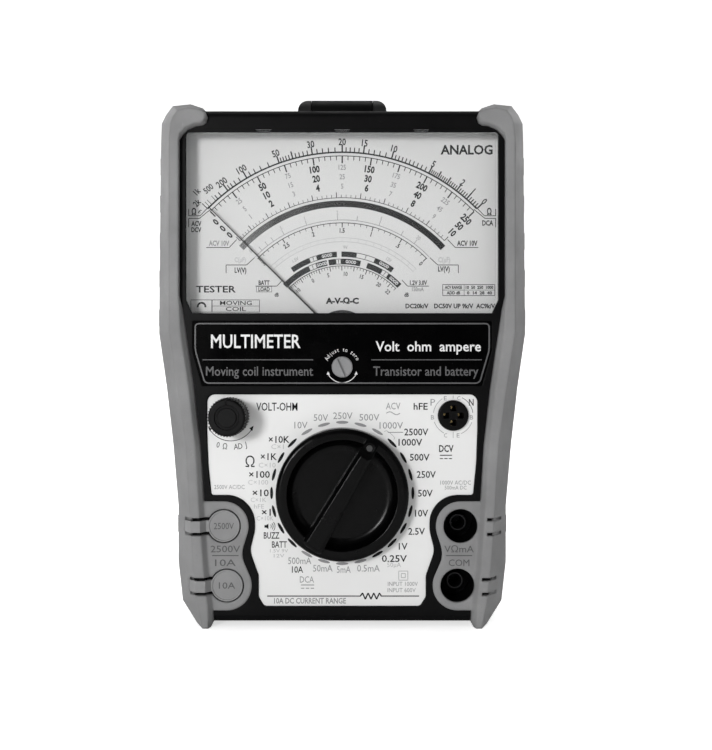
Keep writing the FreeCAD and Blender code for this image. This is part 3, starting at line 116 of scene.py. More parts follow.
def surface(name, colour, rough, metal=0.0, vary=0.12, grain=900.0, bump=0.12, depth=0.00006,
            stretch=(1, 1, 1), wear=0.0, coat=0.0, patch=60.0, specular=0.5, speckle=None, soften=0.0):
    """Moulded, painted or metal finish: patchy colour, uneven roughness, grain relief and rubbed spots.

    patch, grain and speckle are noise scales, depth is the height of the grain in metres, and soften is
    the radius in millimetres over which the shading rounds off the edges.
    """
    material, tree, shader = new_material(name)
    dark = tuple(c * (1 - vary) for c in colour)
    light = tuple(min(1.0, c * (1 + vary) + 0.0003) for c in colour)
    tone = ramp(tree, noise(tree, patch, stretch=stretch), ((0.3, dark), (0.7, light)))
    if wear:
        rubbed = tuple(min(1.0, c * (1 + wear) + 0.008 * wear) for c in colour)
        spots = spread(tree, noise(tree, 260.0, 8.0, 0.7), 0.0, 1.0, 0.62, 0.72)
        tone = blended(tree, spots, tone, rubbed)
    if speckle:
        dots = spread(tree, noise(tree, speckle, 2.0, 0.5), 0.0, 0.5, 0.6, 0.7)
        tone = blended(tree, dots, tone, dark)
    tree.links.new(tone, shader.inputs["Base Color"])
    tree.links.new(spread(tree, noise(tree, patch * 3, 6.0), max(0.02, rough - 0.07), min(1, rough + 0.08)),
                   shader.inputs["Roughness"])
    shader.inputs["Metallic"].default_value = metal
    shader.inputs["Specular IOR Level"].default_value = specular
    shader.inputs["Coat Weight"].default_value = coat
    relief = tree.nodes.new("ShaderNodeBump")
    relief.inputs["Strength"].default_value = bump
    relief.inputs["Distance"].default_value = depth
    tree.links.new(noise(tree, grain, 3.0, stretch=stretch), relief.inputs["Height"])
    tree.links.new(relief.outputs["Normal"], shader.inputs["Normal"])
    if soften:
        edges = tree.nodes.new("ShaderNodeBevel")
        edges.samples = 8
        edges.inputs["Radius"].default_value = soften * MM
        tree.links.new(edges.outputs["Normal"], relief.inputs["Normal"])
    return material


def painted_reflection(material, left, right):
    """Painted reflection: base colour that runs across the face from the left tone to the right tone, as a
    mirror shows a lit and a dark side.
    """
    tree = material.node_tree
    coords = tree.nodes.new("ShaderNodeTexCoord")
    split = tree.nodes.new("ShaderNodeSeparateXYZ")
    tree.links.new(coords.outputs["Generated"], split.inputs["Vector"])
    stops = ((0.1, (left,) * 3), (0.75, (right,) * 3))
    tree.links.new(ramp(tree, split.outputs["X"], stops), tree.nodes["Principled BSDF"].inputs["Base Color"])


def clear(name, colour, facing, edge):
    """Clear plastic or glass: see-through face on, more reflecting at a slant, with faint smears."""
    material, tree, shader = new_material(name)
    shader.inputs["Base Color"].default_value = (*colour, 1)
    weight = tree.nodes.new("ShaderNodeLayerWeight")
    weight.inputs["Blend"].default_value = 0.25
    tree.links.new(spread(tree, weight.outputs["Fresnel"], facing, edge, 0.0, 1.0), shader.inputs["Alpha"])
    tree.links.new(spread(tree, noise(tree, 90.0, 6.0), 0.03, 0.05), shader.inputs["Roughness"])
    relief = tree.nodes.new("ShaderNodeBump")
    relief.inputs["Strength"].default_value = 0.01
    relief.inputs["Distance"].default_value = 0.00002
    tree.links.new(noise(tree, 40.0), relief.inputs["Height"])
    tree.links.new(relief.outputs["Normal"], shader.inputs["Normal"])
    shader.inputs["Specular IOR Level"].default_value = 0.6
    return material


M = {
    "case": surface("case_black", (0.003, 0.003, 0.0033), 0.42, grain=2200, bump=0.2, depth=0.00005,
                    wear=0.4, specular=0.08, soften=0.5),
    "rear": surface("rear_black", (0.011, 0.011, 0.0115), 0.45, grain=2200, bump=0.25, depth=0.00005,
                    wear=0.4, specular=0.3, soften=0.5),
    "rubber": surface("rubber_grey", (0.25, 0.25, 0.252), 0.6, grain=3200, bump=0.45, depth=0.00007,
                      wear=0.1, speckle=2600.0, specular=0.3, soften=1.3),
    "cap": surface("rubber_cap", (0.27, 0.27, 0.272), 0.55, grain=2600, bump=0.3, depth=0.00005,
                   wear=0.1, specular=0.3, soften=0.3),
    "emboss": surface("rubber_emboss", (0.085, 0.085, 0.087), 0.6, grain=2600, bump=0.3),
    "lens": clear("lens_clear", (0.9, 0.92, 0.93), 0.02, 0.4),
    "fuse": clear("fuse_clear", (0.85, 0.9, 0.9), 0.3, 0.8),
    "dial": surface("dial_white", (0.7, 0.7, 0.695), 0.55, vary=0.012, grain=1500, bump=0.05, patch=25),
    "name": surface("name_black", (0.0005, 0.0005, 0.0006), 0.25, grain=900, bump=0.03, wear=0.2,
                    specular=0.03),
    "panel": surface("panel_white", (0.84, 0.84, 0.835), 0.45, vary=0.015, grain=1800, bump=0.08, patch=30),
    "knob": surface("knob_black", (0.0007, 0.0007, 0.0008), 0.22, grain=1400, bump=0.05, depth=0.00005,
                    wear=0.3, specular=0.13, soften=0.4),
    "ohm": surface("ohm_black", (0.003, 0.003, 0.0032), 0.42, grain=2400, bump=0.2, wear=0.5,
                   specular=0.12),
    "dot": surface("dot_grey", (0.035, 0.035, 0.036), 0.4, grain=1500),
    "screw": surface("screw_grey", (0.24, 0.24, 0.245), 0.42, grain=1500, bump=0.2, wear=0.3),
    "socket": surface("socket_black", (0.003, 0.003, 0.003), 0.38, grain=1800, bump=0.1, wear=0.6,
                      specular=0.1),
    "brass": surface("brass_plain", (0.72, 0.55, 0.26), 0.28, 1.0, grain=1600, bump=0.1, wear=0.1),
    # metal jack sleeves given a near-black colour: painted shade of the deep jack holes
    "sleeve": surface("sleeve_painted_shade", (0.035, 0.035, 0.036), 0.42, 1.0, grain=1600, bump=0.1),
    "nickel": surface("nickel_plate", (0.55, 0.54, 0.52), 0.26, 1.0, grain=1600, bump=0.1),
    "steel": surface("steel_zinc", (0.5, 0.5, 0.5), 0.33, 1.0, grain=1400, bump=0.14, stretch=(1, 6, 1)),
    "iron": surface("iron_sintered", (0.16, 0.16, 0.165), 0.55, 0.9, grain=1800, bump=0.4),
    "alu": surface("aluminium_drawn", (0.75, 0.75, 0.76), 0.3, 1.0, grain=1500, stretch=(1, 1, 8)),
    "copper": surface("copper_wire", (0.62, 0.26, 0.12), 0.3, 1.0, grain=5200, bump=0.6, stretch=(1, 1, 4)),
    "pointer": surface("pointer_black", (0.01, 0.01, 0.01), 0.5, grain=1500, specular=0.2),
    "board": surface("board_green", (0.03, 0.14, 0.07), 0.35, grain=1400, bump=0.3, patch=160),
    "ceramic": surface("resistor_tan", (0.5, 0.42, 0.28), 0.5, grain=2000),
    "base": surface("base_black", (0.02, 0.02, 0.022), 0.5, grain=2200, bump=0.3, wear=0.4, specular=0.3),
    "battery": surface("battery_jacket", (0.06, 0.065, 0.085), 0.32, 0.3, grain=1000, bump=0.06, coat=0.4),
    "ink_black": surface("ink_black", (0.006, 0.006, 0.0065), 0.55, grain=2400, bump=0.05, vary=0.2,
                         specular=0.2),
    "ink_grey": surface("ink_grey", (0.27, 0.27, 0.275), 0.5, grain=2400, bump=0.05),
    "ink_pale": surface("ink_pale", (0.5, 0.5, 0.505), 0.5, grain=2400, bump=0.05),
    "ink_white": surface("ink_white", (0.8, 0.8, 0.8), 0.45, vary=0.03, grain=2400, bump=0.05),
    "ink_dim": surface("ink_dim", (0.09, 0.09, 0.093), 0.45, grain=2400, bump=0.05),
    "mirror": surface("mirror_band", (0.12, 0.12, 0.122), 0.22, 1.0, vary=0.35, patch=22, grain=900,
                      bump=0.05),
}

# painted reflection on the mirror strip: lighter on the lit left, darker on the right
painted_reflection(M["mirror"], 0.2, 0.02)

FINISH = {
    "case": "front_case tilt_stand",
    "rear": "rear_case battery_cover",
    "rubber": "right_grip left_grip",
    "cap": "cap_2500v cap_10a",
    "lens": "window_lens",
    "fuse": "fuse_tube",
    "dial": "dial_plate",
    "name": "name_plate",
    "panel": "control_panel",
    "knob": "selector_knob",
    "ohm": "ohm_knob",
    "dot": "knob_dot",
    "screw": "zero_screw",
    "socket": "transistor_socket",
    "brass": "wipers core_spacers rear_bridge jewel_screws hairsprings zero_lever selector_tracks"
             " fuse_clips dial_screws socket_contacts",
    # the jack sleeves take the near-black finish that paints the shade in their holes
    "sleeve": "jack_sleeve_right_top jack_sleeve_right_low jack_sleeve_left_top jack_sleeve_left_low",
    "nickel": "fuse_ends battery_contacts",
    "steel": "detent_balls detent_springs pivot_staffs case_screws movement_screws cover_screw hinge_pin",
    "iron": "core_magnet yoke_ring",
    "alu": "coil_frame balance_arms",
    "copper": "coil_winding shunt_wire",
    "pointer": "pointer",
    "board": "circuit_board",
    "ceramic": "resistors",
    "base": "selector_rotor potentiometer movement_base front_bridge buzzer",
    "battery": "battery_9v battery_cells",
}
for key, members in FINISH.items():
    for member in members.split():
        slots = nodes[member].data.materials
        slots.clear()
        slots.append(M[key])


# ---------------------------------------------------------------- flat print and raised lettering
def on_circle(x, y, radius, turn):
    """Point on a circle round x, y, turn degrees clockwise from straight up."""
    t = math.radians(turn)
    return x + radius * math.sin(t), y + radius * math.cos(t)


class Print:
    """Flat shapes in millimetres, x to the right and y up, made into one thin closed piece.

    It lies on a plane that faces the front: plane is its y in the row frame, and thick its height.
    """

    def __init__(self, name, material, body, slot, plane, thick=0.05, sink=0.02):
        self.name, self.material, self.body, self.slot = name, material, body, slot
        self.plane, self.thick, self.sink = plane, thick, sink
        self.mesh = bmesh.new()

    def face(self, corners):
        """One face through these corners, turned to look up whichever way they run."""
        face = self.mesh.faces.new(corners)
        face.normal_update()
        if face.normal.z < 0:
            face.normal_flip()

    def polygon(self, points):
        self.face([self.mesh.verts.new((x, y, 0)) for x, y in points])

    def line(self, x0, y0, x1, y1, width):
        length = math.hypot(x1 - x0, y1 - y0)
        px, py = -(y1 - y0) / length * width / 2, (x1 - x0) / length * width / 2
        self.polygon([(x0 - px, y0 - py), (x1 - px, y1 - py), (x1 + px, y1 + py), (x0 + px, y0 + py)])

    def arc(self, cx, cy, radius, width, first, last):
        """Arc from first to last degrees, measured clockwise from straight up."""
        count = max(4, int(abs(last - first) / 2.0))
        inner, outer = [], []
        for i in range(count + 1):
            turn = first + (last - first) * i / count
            inner.append(on_circle(cx, cy, radius - width / 2, turn))
            outer.append(on_circle(cx, cy, radius + width / 2, turn))
        rows = [[self.mesh.verts.new((x, y, 0)) for x, y in edge] for edge in (inner, outer)]
        for i in range(count):
            self.face((rows[0][i], rows[1][i], rows[1][i + 1], rows[0][i + 1]))

    def ray(self, cx, cy, turn, r0, r1, width):
        """Line along a radius of a circle, turn degrees clockwise from straight up."""
        self.line(*on_circle(cx, cy, r0, turn), *on_circle(cx, cy, r1, turn), width)

    def ellipse(self, cx, cy, a, b, turn=0.0, steps=20):
        s, c = math.sin(math.radians(turn)), math.cos(math.radians(turn))
        points = []
        for i in range(steps):
            t = 2 * math.pi * i / steps
            x, y = a * math.cos(t), b * math.sin(t)
            points.append((cx + x * c + y * s, cy - x * s + y * c))
        self.polygon(points)

    def frame(self, x0, y0, x1, y1, width):
        """Outline of a box, its four sides kept apart so that none of them overlap."""
        for y in (y0, y1):
            self.line(x0 - width / 2, y, x1 + width / 2, y, width)
        for x in (x0, x1):
            self.line(x, y0 + width, x, y1 - width, width)

    def path(self, points, width):
        for (x0, y0), (x1, y1) in zip(points, points[1:]):
            self.line(x0, y0, x1, y1, width)

    def text(self, words, x, y, height, width=None, turn=0.0, bold=0.0, squeeze=0.8):
        """Words centred on x, y with capitals of this height; width fits them to a length."""
        flat = letters(words, bold)
        xs = [p.x for p in flat["points"]]
        low, high = min(xs), max(xs)
        tall = height / CAPITAL
        wide = width / (high - low) if width else tall * squeeze
        shift = (low + high) / 2
        s, c = math.sin(math.radians(turn)), math.cos(math.radians(turn))
        corners = []
        for p in flat["points"]:
            u, v = (p.x - shift) * wide, (p.y - CAPITAL / 2) * tall
            corners.append(self.mesh.verts.new((x + u * c + v * s, y - u * s + v * c, 0)))
        for polygon in flat["faces"]:
            self.face([corners[i] for i in polygon])

    def build(self):
        """Give the flat faces their thickness and place them on the object."""
        bm = self.mesh
        flats = list(bm.faces)
        raised = bmesh.ops.extrude_face_region(bm, geom=flats, use_keep_orig=True)["geom"]
        for v in raised:
            if isinstance(v, bmesh.types.BMVert):
                v.co.z = self.thick
        bmesh.ops.recalc_face_normals(bm, faces=bm.faces)
        depth = self.plane + self.sink * MM
        place = Matrix(((MM, 0, 0, 0), (0, 0, -MM, depth), (0, MM, 0, 0), (0, 0, 0, 1)))
        bm.transform(place)
        data = bpy.data.meshes.new(self.name)
        bm.to_mesh(data)
        bm.free()
        data.materials.append(self.material)
        piece = bpy.data.objects.new(self.name, data)
        bpy.context.scene.collection.objects.link(piece)
        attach(piece, self.body)
        return piece


LETTERS = {}


def letters(words, bold=0.0):
    """Flat outline faces of some words in the built-in font, kept for reuse."""
    key = (words, bold)
    if key not in LETTERS:
        curve = bpy.data.curves.new("letters", "FONT")
        curve.body = words
        curve.resolution_u = 2
        curve.offset = bold
        holder = bpy.data.objects.new("letters", curve)
        bpy.context.scene.collection.objects.link(holder)
        bpy.context.view_layer.update()
        mesh = bpy.data.meshes.new_from_object(holder.evaluated_get(bpy.context.evaluated_depsgraph_get()))
        bm = bmesh.new()
        bm.from_mesh(mesh)
        bmesh.ops.remove_doubles(bm, verts=bm.verts, dist=1e-5)
        bm.verts.ensure_lookup_table()
        LETTERS[key] = {
            "points": [v.co.copy() for v in bm.verts],
            "faces": [[v.index for v in f.verts] for f in bm.faces],
        }
        bm.free()
        bpy.data.meshes.remove(mesh)
        bpy.data.objects.remove(holder)
        bpy.data.curves.remove(curve)
    return LETTERS[key]


CAPITAL = max(p.y for p in letters("H")["points"])


# ---------------------------------------------------------------- dial
DIAL = front_of("dial_plate")
dial = {k: Print(f"dial_{k}", M[m], "housing", "dial_white", DIAL, 0.05) for k, m in
        (("black", "ink_black"), ("grey", "ink_grey"), ("pale", "ink_pale"), ("mirror", "mirror"))}
dial["white"] = Print("dial_white_words", M["ink_white"], "housing", "dial_white", DIAL, 0.08)
SWEEP = 45.6        # degrees from the middle of the scales to either end
MID_OHMS = 20.0
MID_FARADS = 2.2


def around(layer, words, radius, turn, height, **options):
    """Words standing on a circle round the pointer's pivot."""
    dial[layer].text(words, *on_circle(0, PIVOT_Z, radius, turn), height, turn=turn, **options)


def dial_arc(layer, radius, width, first=-SWEEP, last=SWEEP):
    dial[layer].arc(0, PIVOT_Z, radius, width, first, last)


def tick(layer, turn, r0, r1, width=0.14):
    dial[layer].ray(0, PIVOT_Z, turn, r0, r1, width)


def linear(share):
    return -SWEEP + 2 * SWEEP * share


def ohm_turn(value):
    return -SWEEP + 2 * SWEEP * MID_OHMS / (MID_OHMS + value)


def farad_turn(value):
    return -SWEEP + 2 * SWEEP * value / (MID_FARADS + value)


# resistance scale, crowded towards the left
OHM_R = 61.5
dial_arc("black", OHM_R, 0.5)
WHOLE_OHMS = (0, 1, 2, 3, 4, 5, 10, 15, 20, 30, 40, 50, 100, 200)
for low, high, step in ((0, 5, 0.2), (5, 10, 0.5), (10, 20, 1), (20, 50, 2), (50, 100, 10), (100, 200, 20),
                        (200, 500, 100)):
    for i in range(int(round((high - low) / step))):
        value = low + i * step
        length, width = (2.5, 0.46) if value in WHOLE_OHMS else (1.6, 0.34)
        tick("black", ohm_turn(value), OHM_R + 0.2, OHM_R + length, width)
for value in (500, 1000, 2000):
    tick("black", ohm_turn(value), OHM_R + 0.2, OHM_R + 2.2, 0.2)
tick("black", -SWEEP, OHM_R + 0.2, OHM_R + 2.5, 0.3)
for value in (0, 1, 2, 5, 10, 15, 20, 30, 50, 100, 200):
    around("black", str(value), OHM_R + 3.4, ohm_turn(value), 2.1, bold=0.022)
for words, x, z, turn in (("500", -43.7, 141.2, -40), ("1k", -47.4, 140.3, -47), ("2k", -47.4, 136.6, -47)):
    dial["black"].text(words, x, z, 1.9, turn=turn, bold=0.02)
around("black", "∞", OHM_R + 1.2, -SWEEP - 2.2, 1.3, bold=0.03)

# volts and amperes, evenly divided, with three rows of numbers
LINEAR_R = 60.3
dial_arc("black", LINEAR_R, 0.26)
for i in range(51):
    length, width = (2.4, 0.44) if i % 5 == 0 else (1.4, 0.26)
    tick("black", linear(i / 50), LINEAR_R - length, LINEAR_R - 0.1, width)
for i in range(11):
    turn = linear(i / 10)
    strong = i % 2 == 0
    layer = "black" if strong else "grey"
    size, bold = (2.05, 0.04) if strong else (1.6, 0.015)
    if i == 0:
        turn -= 1.2
    for number, radius in ((25 * i, 56.6), (5 * i, 53.5), (i, 50.4)):
        around(layer, str(number), radius, turn, size, bold=bold)

# 10 V alternating, a little crowded near zero
AC_R = 46.65
dial_arc("black", AC_R, 0.2)
for i in range(51):
    share = i / 50
    bent = share - 0.05 * (1 - share) * min(1.0, share / 0.15)
    length, width = (1.8, 0.26) if i % 5 == 0 else (1.0, 0.17)
    tick("black", linear(bent), AC_R + 0.08, AC_R + length, width)

# mirror strip and the lower scales
dial_arc("mirror", 44.7, 2.1, -47.4, 47.4)
CAP_R, LV_R = 39.4, 38.45
dial_arc("grey", CAP_R, 0.2, -46, 46)
for value in (0.1, 0.2, 0.3, 0.5, 1, 2, 3, 5, 10, 20):
    tick("grey", farad_turn(value), CAP_R + 0.1, CAP_R + 1.6, 0.2)
for words, value in (("0", 0), (".5", 0.5), ("1", 1), ("2", 2), ("5", 5), ("20", 20)):
    around("grey", words, CAP_R + 2.4, farad_turn(value), 1.2)
dial_arc("black", LV_R, 0.24, -46, 46)
for i in range(31):
    length, width = (1.5, 0.3) if i % 5 == 0 else (0.9, 0.18)
    tick("black", linear(i / 30), LV_R - length, LV_R - 0.08, width)
for i, words in enumerate(("3", "2.5", "2", "1.5", "1", ".5", "0")):
    around("black", words, LV_R - 2.5, linear(i / 6), 1.4, bold=0.03)
dial_arc("pale", 33.6, 0.16, -46, 46)
dial_arc("pale", 32.3, 0.16, -46, 46)
for i in range(21):
    tick("pale", linear(i / 20), 32.3, 33.6, 0.1)


def band(low, high, blocks):
    """Battery band: filled blocks and open boxes between two radii."""
    middle, width = (low + high) / 2, high - low
    for layer, first, last in blocks:
        if layer == "box":
            for r in (low + 0.1, high - 0.1):
                dial["black"].arc(0, PIVOT_Z, r, 0.2, first, last)
            for turn in (first, last):
                tick("black", turn, low + 0.2, high - 0.2, 0.2)
            around("black", "?", middle, (first + last) / 2, 1.1, bold=0.03)
        else:
            dial["black"].arc(0, PIVOT_Z, middle, width, first, last)
            if layer == "good":
                around("white", "GOOD", middle, (first + last) / 2, 0.95, bold=0.03)


band(27.35, 29.1, (("black", -35.3, -22.2), ("box", -22.0, -17.0), ("good", -16.8, -3.5),
                   ("black", -0.5, 9.2), ("box", 9.4, 22.0), ("good", 22.2, 35.6)))
band(24.9, 26.75, (("black", -46.3, -24.7), ("box", -24.5, -19.0), ("good", -18.8, -11.0),
                   ("black", -9.8, -4.7), ("box", -4.5, -0.9), ("good", -0.7, 13.3),
                   ("black", 18.2, 29.5), ("box", 29.7, 34.9), ("good", 35.1, 46.3)))
for words, turn in (("1.5V", -30), ("9V", 2), ("12V", 30)):
    around("grey", words, 30.5, turn, 1.1)
DB_R = 24.4
dial_arc("black", DB_R, 0.22, -46, 46)
for i in range(43):
    turn = -SWEEP + 2 * SWEEP * (i / 42) ** 1.25
    length, width = (1.5, 0.26) if i % 4 == 0 else (0.9, 0.17)
    tick("black", turn, DB_R - length, DB_R - 0.08, width)
for words, turn in (("-10", -42), ("0", -26), ("5", -12), ("10", 3), ("15", 17), ("20", 33), ("22", 43)):
    around("black", words, DB_R - 2.6, turn, 1.3, bold=0.02)

# names of the scales at both ends, each pair parted by a bent leader line
for words, x, z, size, layer in (
        ("Ω", -48.4, 133.7, 2.0, "black"), ("Ω", 48.0, 133.7, 2.0, "black"),
        ("ACV", -47.6, 129.8, 1.5, "black"), ("DCV", -47.6, 127.8, 1.5, "black"),
        ("DCA", 47.5, 130.0, 1.6, "black"),
        ("ACV 10V", -40.2, 123.4, 1.6, "grey"), ("ACV 10V", 40.8, 123.4, 1.6, "black"),
        ("C(µF)", -33.3, 118.0, 1.5, "pale"), ("C(µF)", 33.3, 118.0, 1.6, "pale"),
        ("LV(V)", -33.2, 114.6, 1.6, "black"), ("LV(V)", 33.2, 115.0, 1.6, "black"),
        ("BATT", -25.5, 110.5, 1.4, "black"), ("LOAD", -25.5, 108.4, 1.3, "black"),
        ("1.2V 3.0V", 24.9, 110.5, 1.4, "black"), ("150mA", 24.7, 108.4, 1.3, "grey"),
        ("dB", -21.4, 106.6, 1.2, "black"), ("dB", 21.0, 106.6, 1.3, "black")):
    dial[layer].text(words, x, z, size, bold=0.03, squeeze=0.72)
for side in (1, -1):
    for x0, x1, x2, z0, z1 in ((50.1, 46.4, 43.4, 132.35, 135.5), (50.1, 46.6, 42.9, 131.5, 134.5),
                               (44.4, 36.9, 34.4, 122.0, 124.6), (37.9, 31.2, 28.6, 116.3, 118.7),
                               (28.3, 21.3, 19.5, 109.4, 111.4)):
        dial["black"].path([(side * x0, z0), (side * x1, z0), (side * x2, z1)], 0.24)
    for x, z0, z1 in ((50.1, 132.35, 134.6), (50.1, 131.5, 128.6), (37.9, 116.3, 113.6)):
        dial["black"].line(side * x, z0, side * x, z1, 0.24)
dial["black"].frame(-28.0, 107.5, -23.0, 109.3, 0.14)
dial["black"].text("A-V-Ω-C", 0, 104.6, 1.75, width=10.8, bold=0.05)
dial["black"].text("ANALOG", 40.6, 153.9, 2.9, width=17.0, bold=0.03)
dial["black"].text("TESTER", -41.2, 108.4, 2.05, width=13.0, bold=0.02)
for words, x, width in (("DC20k/V", 24.4, 7.5), ("DC50V UP 9k/V", 36.4, 12.8), ("AC9k/V", 46.8, 6.2)):
    dial["black"].text(words, x, 102.9, 1.4, width=width, bold=0.035)
dial["black"].frame(32.8, 106.3, 49.8, 109.9, 0.2)
dial["black"].line(32.9, 108.1, 49.7, 108.1, 0.14)
for z0, z1 in ((106.4, 108.0), (108.2, 109.8)):
    dial["black"].line(39.8, z0, 39.8, z1, 0.14)
for words, x, z, width in (("ACV RANGE", 36.3, 109.0, 5.6), ("10  50  250  1000", 44.8, 109.0, 9.0),
                           ("ADD dB", 36.3, 107.2, 4.4), ("0  14  28  40", 44.8, 107.2, 8.2)):
    dial["black"].text(words, x, z, 0.95, width=width, bold=0.04)
dial["black"].frame(-49.4, 100.9, -27.0, 104.9, 0.18)
dial["black"].line(-42.4, 102.9, -27.1, 102.9, 0.14)
dial["black"].text("MOVING", -34.7, 103.9, 1.35, width=10.4, bold=0.01)
dial["black"].text("COIL", -34.7, 101.95, 1.3, width=6.6, bold=0.01)
dial["black"].arc(-45.9, 102.7, 1.25, 0.6, -100, 100)
dial["black"].line(-42.5, 101.0, -42.5, 104.8, 0.3)
for layer in dial.values():
    layer.build()


# ---------------------------------------------------------------- name plate
def eased(points, reach):
    """Closed outline with every corner drawn as a short curve that starts reach before it."""
    result = []
    for i, corner in enumerate(points):
        before, after = Vector(points[i - 1]), Vector(points[(i + 1) % len(points)])
        here = Vector(corner)
        start = here + (before - here).normalized() * reach
        end = here + (after - here).normalized() * reach
        for k in range(5):
            t = k / 4
            spot = start * (1 - t) ** 2 + here * (2 * t * (1 - t)) + end * t ** 2
            result.append((spot.x, spot.y))
    return result


NAME = front_of("name_plate")
name = {k: Print(f"name_{k}", M[m], "housing", "name_black", NAME, 0.04) for k, m in
        (("white", "ink_white"), ("dim", "ink_dim"))}
low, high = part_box("name_plate")
edge = [(high.x / MM, high.z / MM), (high.x / MM, high.z / MM - 9.2), (high.x / MM - 3.1, low.z / MM)]
inset = 0.75
outer = [(x - inset, z + (inset if i == 2 else -inset if i == 0 else 0)) for i, (x, z) in enumerate(edge)]
loop = eased(outer + [(-x, z) for x, z in reversed(outer)], 1.3)
for (x0, z0), (x1, z1) in zip(loop, loop[1:] + loop[:1]):
    name["dim"].line(x0, z0, x1, z1, 0.45)
name["white"].text("MULTIMETER", -27.6, 91.2, 4.2, width=28.6, bold=0.012)
name["dim"].line(-44.6, 85.3, -9.3, 85.3, 0.28)
name["dim"].text("Moving coil instrument", -26.4, 81.7, 2.9, width=34.2, bold=0.01)
name["white"].text("Volt  ohm  ampere", 27.5, 89.6, 3.1, width=33.6, bold=0.012)
name["dim"].line(9.3, 85.3, 44.6, 85.3, 0.28)
name["dim"].text("Transistor and battery", 26.7, 81.7, 2.9, width=33.6, bold=0.01)
R_ZERO, R_CAPTION = 5.0, 5.6
name["white"].arc(0, ZERO_Z, R_ZERO, 0.22, 118, 242)
for turn, side in ((118, 1), (242, -1)):
    x, z = on_circle(0, ZERO_Z, R_ZERO, turn)
    name["white"].polygon([(x - 0.55, z - 0.1), (x + 0.55, z - 0.1), (x + 0.12 * side, z + 0.95)])
caption = "Adjust to zero"
for i, letter in enumerate(caption):
    if letter != " ":
        turn = -62 + 124 * i / (len(caption) - 1)
        name["white"].text(letter, *on_circle(0, ZERO_Z, R_CAPTION, turn), 1.25, turn=turn)
for layer in name.values():
    layer.build()


# ---------------------------------------------------------------- control panel
panel = {k: Print(f"panel_{k}", M[m], "housing", "panel_white", PANEL, 0.04) for k, m in
         (("black", "ink_black"), ("grey", "ink_grey"), ("pale", "ink_pale"))}
RANGES, R_MARKS = 24, 22.6
GREY_MARKS = (22, 23, 0, 1, 2, 11, 12, 13, 14)
for i in range(RANGES):
    turn = 360.0 / RANGES * i
    layer = "grey" if i in GREY_MARKS else "black"
    panel[layer].ellipse(*on_circle(0, KNOB_Z, R_MARKS, turn), 2.0, 0.48, turn)

# layer, words, middle of the words across and up, height of the capitals, width of the words
LABELS = (
    ("black", "×1", -24.3, 36.5, 2.1, 2.9), ("black", "×10", -26.1, 42.7, 2.1, 5.2),
    ("black", "×100", -26.5, 48.6, 2.1, 6.7), ("black", "×1K", -23.5, 54.3, 2.1, 5.2),
    ("black", "×10K", -20.2, 59.8, 2.1, 6.7), ("grey", "10V", -13.2, 64.4, 2.1, 4.2),
    ("grey", "50V", -6.8, 66.8, 2.1, 4.6), ("grey", "250V", 0.2, 67.4, 2.1, 6.2),
    ("grey", "500V", 8.7, 66.9, 2.1, 6.4), ("grey", "1000V", 15.7, 64.3, 2.1, 7.5),
    ("black", "2500V", 23.7, 62.2, 2.1, 7.7), ("black", "1000V", 21.8, 58.9, 2.1, 7.6),
    ("black", "500V", 24.8, 54.1, 2.1, 6.3), ("black", "250V", 26.9, 48.6, 2.1, 6.1),
    ("black", "50V", 26.6, 42.6, 2.1, 4.7), ("black", "10V", 25.4, 36.2, 2.1, 4.2),
    ("black", "2.5V", 23.8, 30.4, 2.1, 5.3), ("black", "1V", 19.5, 25.6, 2.1, 2.8),
    ("black", "0.25V", 16.7, 21.7, 2.1, 8.0), ("grey", "0.5mA", 8.4, 18.6, 2.1, 7.2),
    ("grey", "5mA", 0.5, 18.2, 2.1, 4.4), ("grey", "50mA", -6.2, 18.6, 2.1, 6.2),
    ("grey", "500mA", -13.6, 21.0, 2.1, 7.4), ("black", "10A", -14.3, 18.2, 2.0, 3.6),
    ("black", "BATT", -20.1, 26.2, 2.0, 4.8), ("black", "BUZZ", -22.6, 29.1, 2.0, 5.0),
    ("pale", "C×1", -20.7, 57.5, 1.5, 4.0), ("pale", "C×10", -24.0, 51.6, 1.5, 5.4),
    ("pale", "C×100", -26.9, 46.1, 1.5, 6.4), ("pale", "C×1K", -26.8, 40.5, 1.4, 5.0),
    ("pale", "hFE", -26.6, 38.4, 1.4, 3.2), ("pale", "C×10K", -24.7, 34.6, 1.4, 5.4),
    ("pale", "1.5V 9V", -20.2, 24.2, 1.1, 5.8), ("pale", "12V", -20.2, 22.6, 1.1, 3.4),
    ("pale", "50µA", 16.6, 19.7, 1.4, 4.4), ("grey", "ACV", 16.3, 70.5, 2.1, 4.6),
    ("black", "hFE", 25.1, 70.4, 2.1, 4.5), ("grey", "P", 29.0, 71.7, 2.1, 1.5),
    ("black", "N", 41.3, 71.7, 2.1, 1.5), ("grey", "E", 33.0, 73.0, 1.3, 0.9),
    ("grey", "C", 37.3, 73.0, 1.3, 1.0), ("grey", "B", 28.9, 66.9, 1.4, 1.0),
    ("grey", "B", 41.4, 66.9, 1.4, 1.0), ("grey", "C", 33.1, 61.1, 1.3, 1.0),
    ("grey", "E", 37.1, 61.1, 1.3, 0.9), ("grey", "DCA", -11.3, 15.0, 2.0, 4.5),
    ("grey", "1000V AC/DC", 36.3, 46.0, 1.3, 9.8), ("grey", "500mA DC", 36.3, 44.4, 1.2, 7.0),
    ("grey", "2500V AC/DC", -36.1, 44.6, 1.3, 9.7),
    ("grey", "INPUT 1000V", 19.4, 13.6, 1.3, 9.6), ("grey", "INPUT 600V", 19.0, 11.6, 1.3, 9.0),
)
for layer, words, x, z, size, width in LABELS:
    panel[layer].text(words, x, z, size, width=width, bold=0.012 if layer == "black" else 0.0)
panel["black"].text("VOLT-OHM", -20.9, 70.3, 2.5, width=13.2, bold=0.01)
panel["black"].text("DCV", 33.3, 56.9, 2.1, width=4.6, bold=0.02)
panel["black"].text("Ω", -29.5, 52.7, 3.4, width=2.9)
panel["grey"].text("10A DC CURRENT RANGE", -10.3, 8.2, 1.7, width=23.0, bold=0.02)
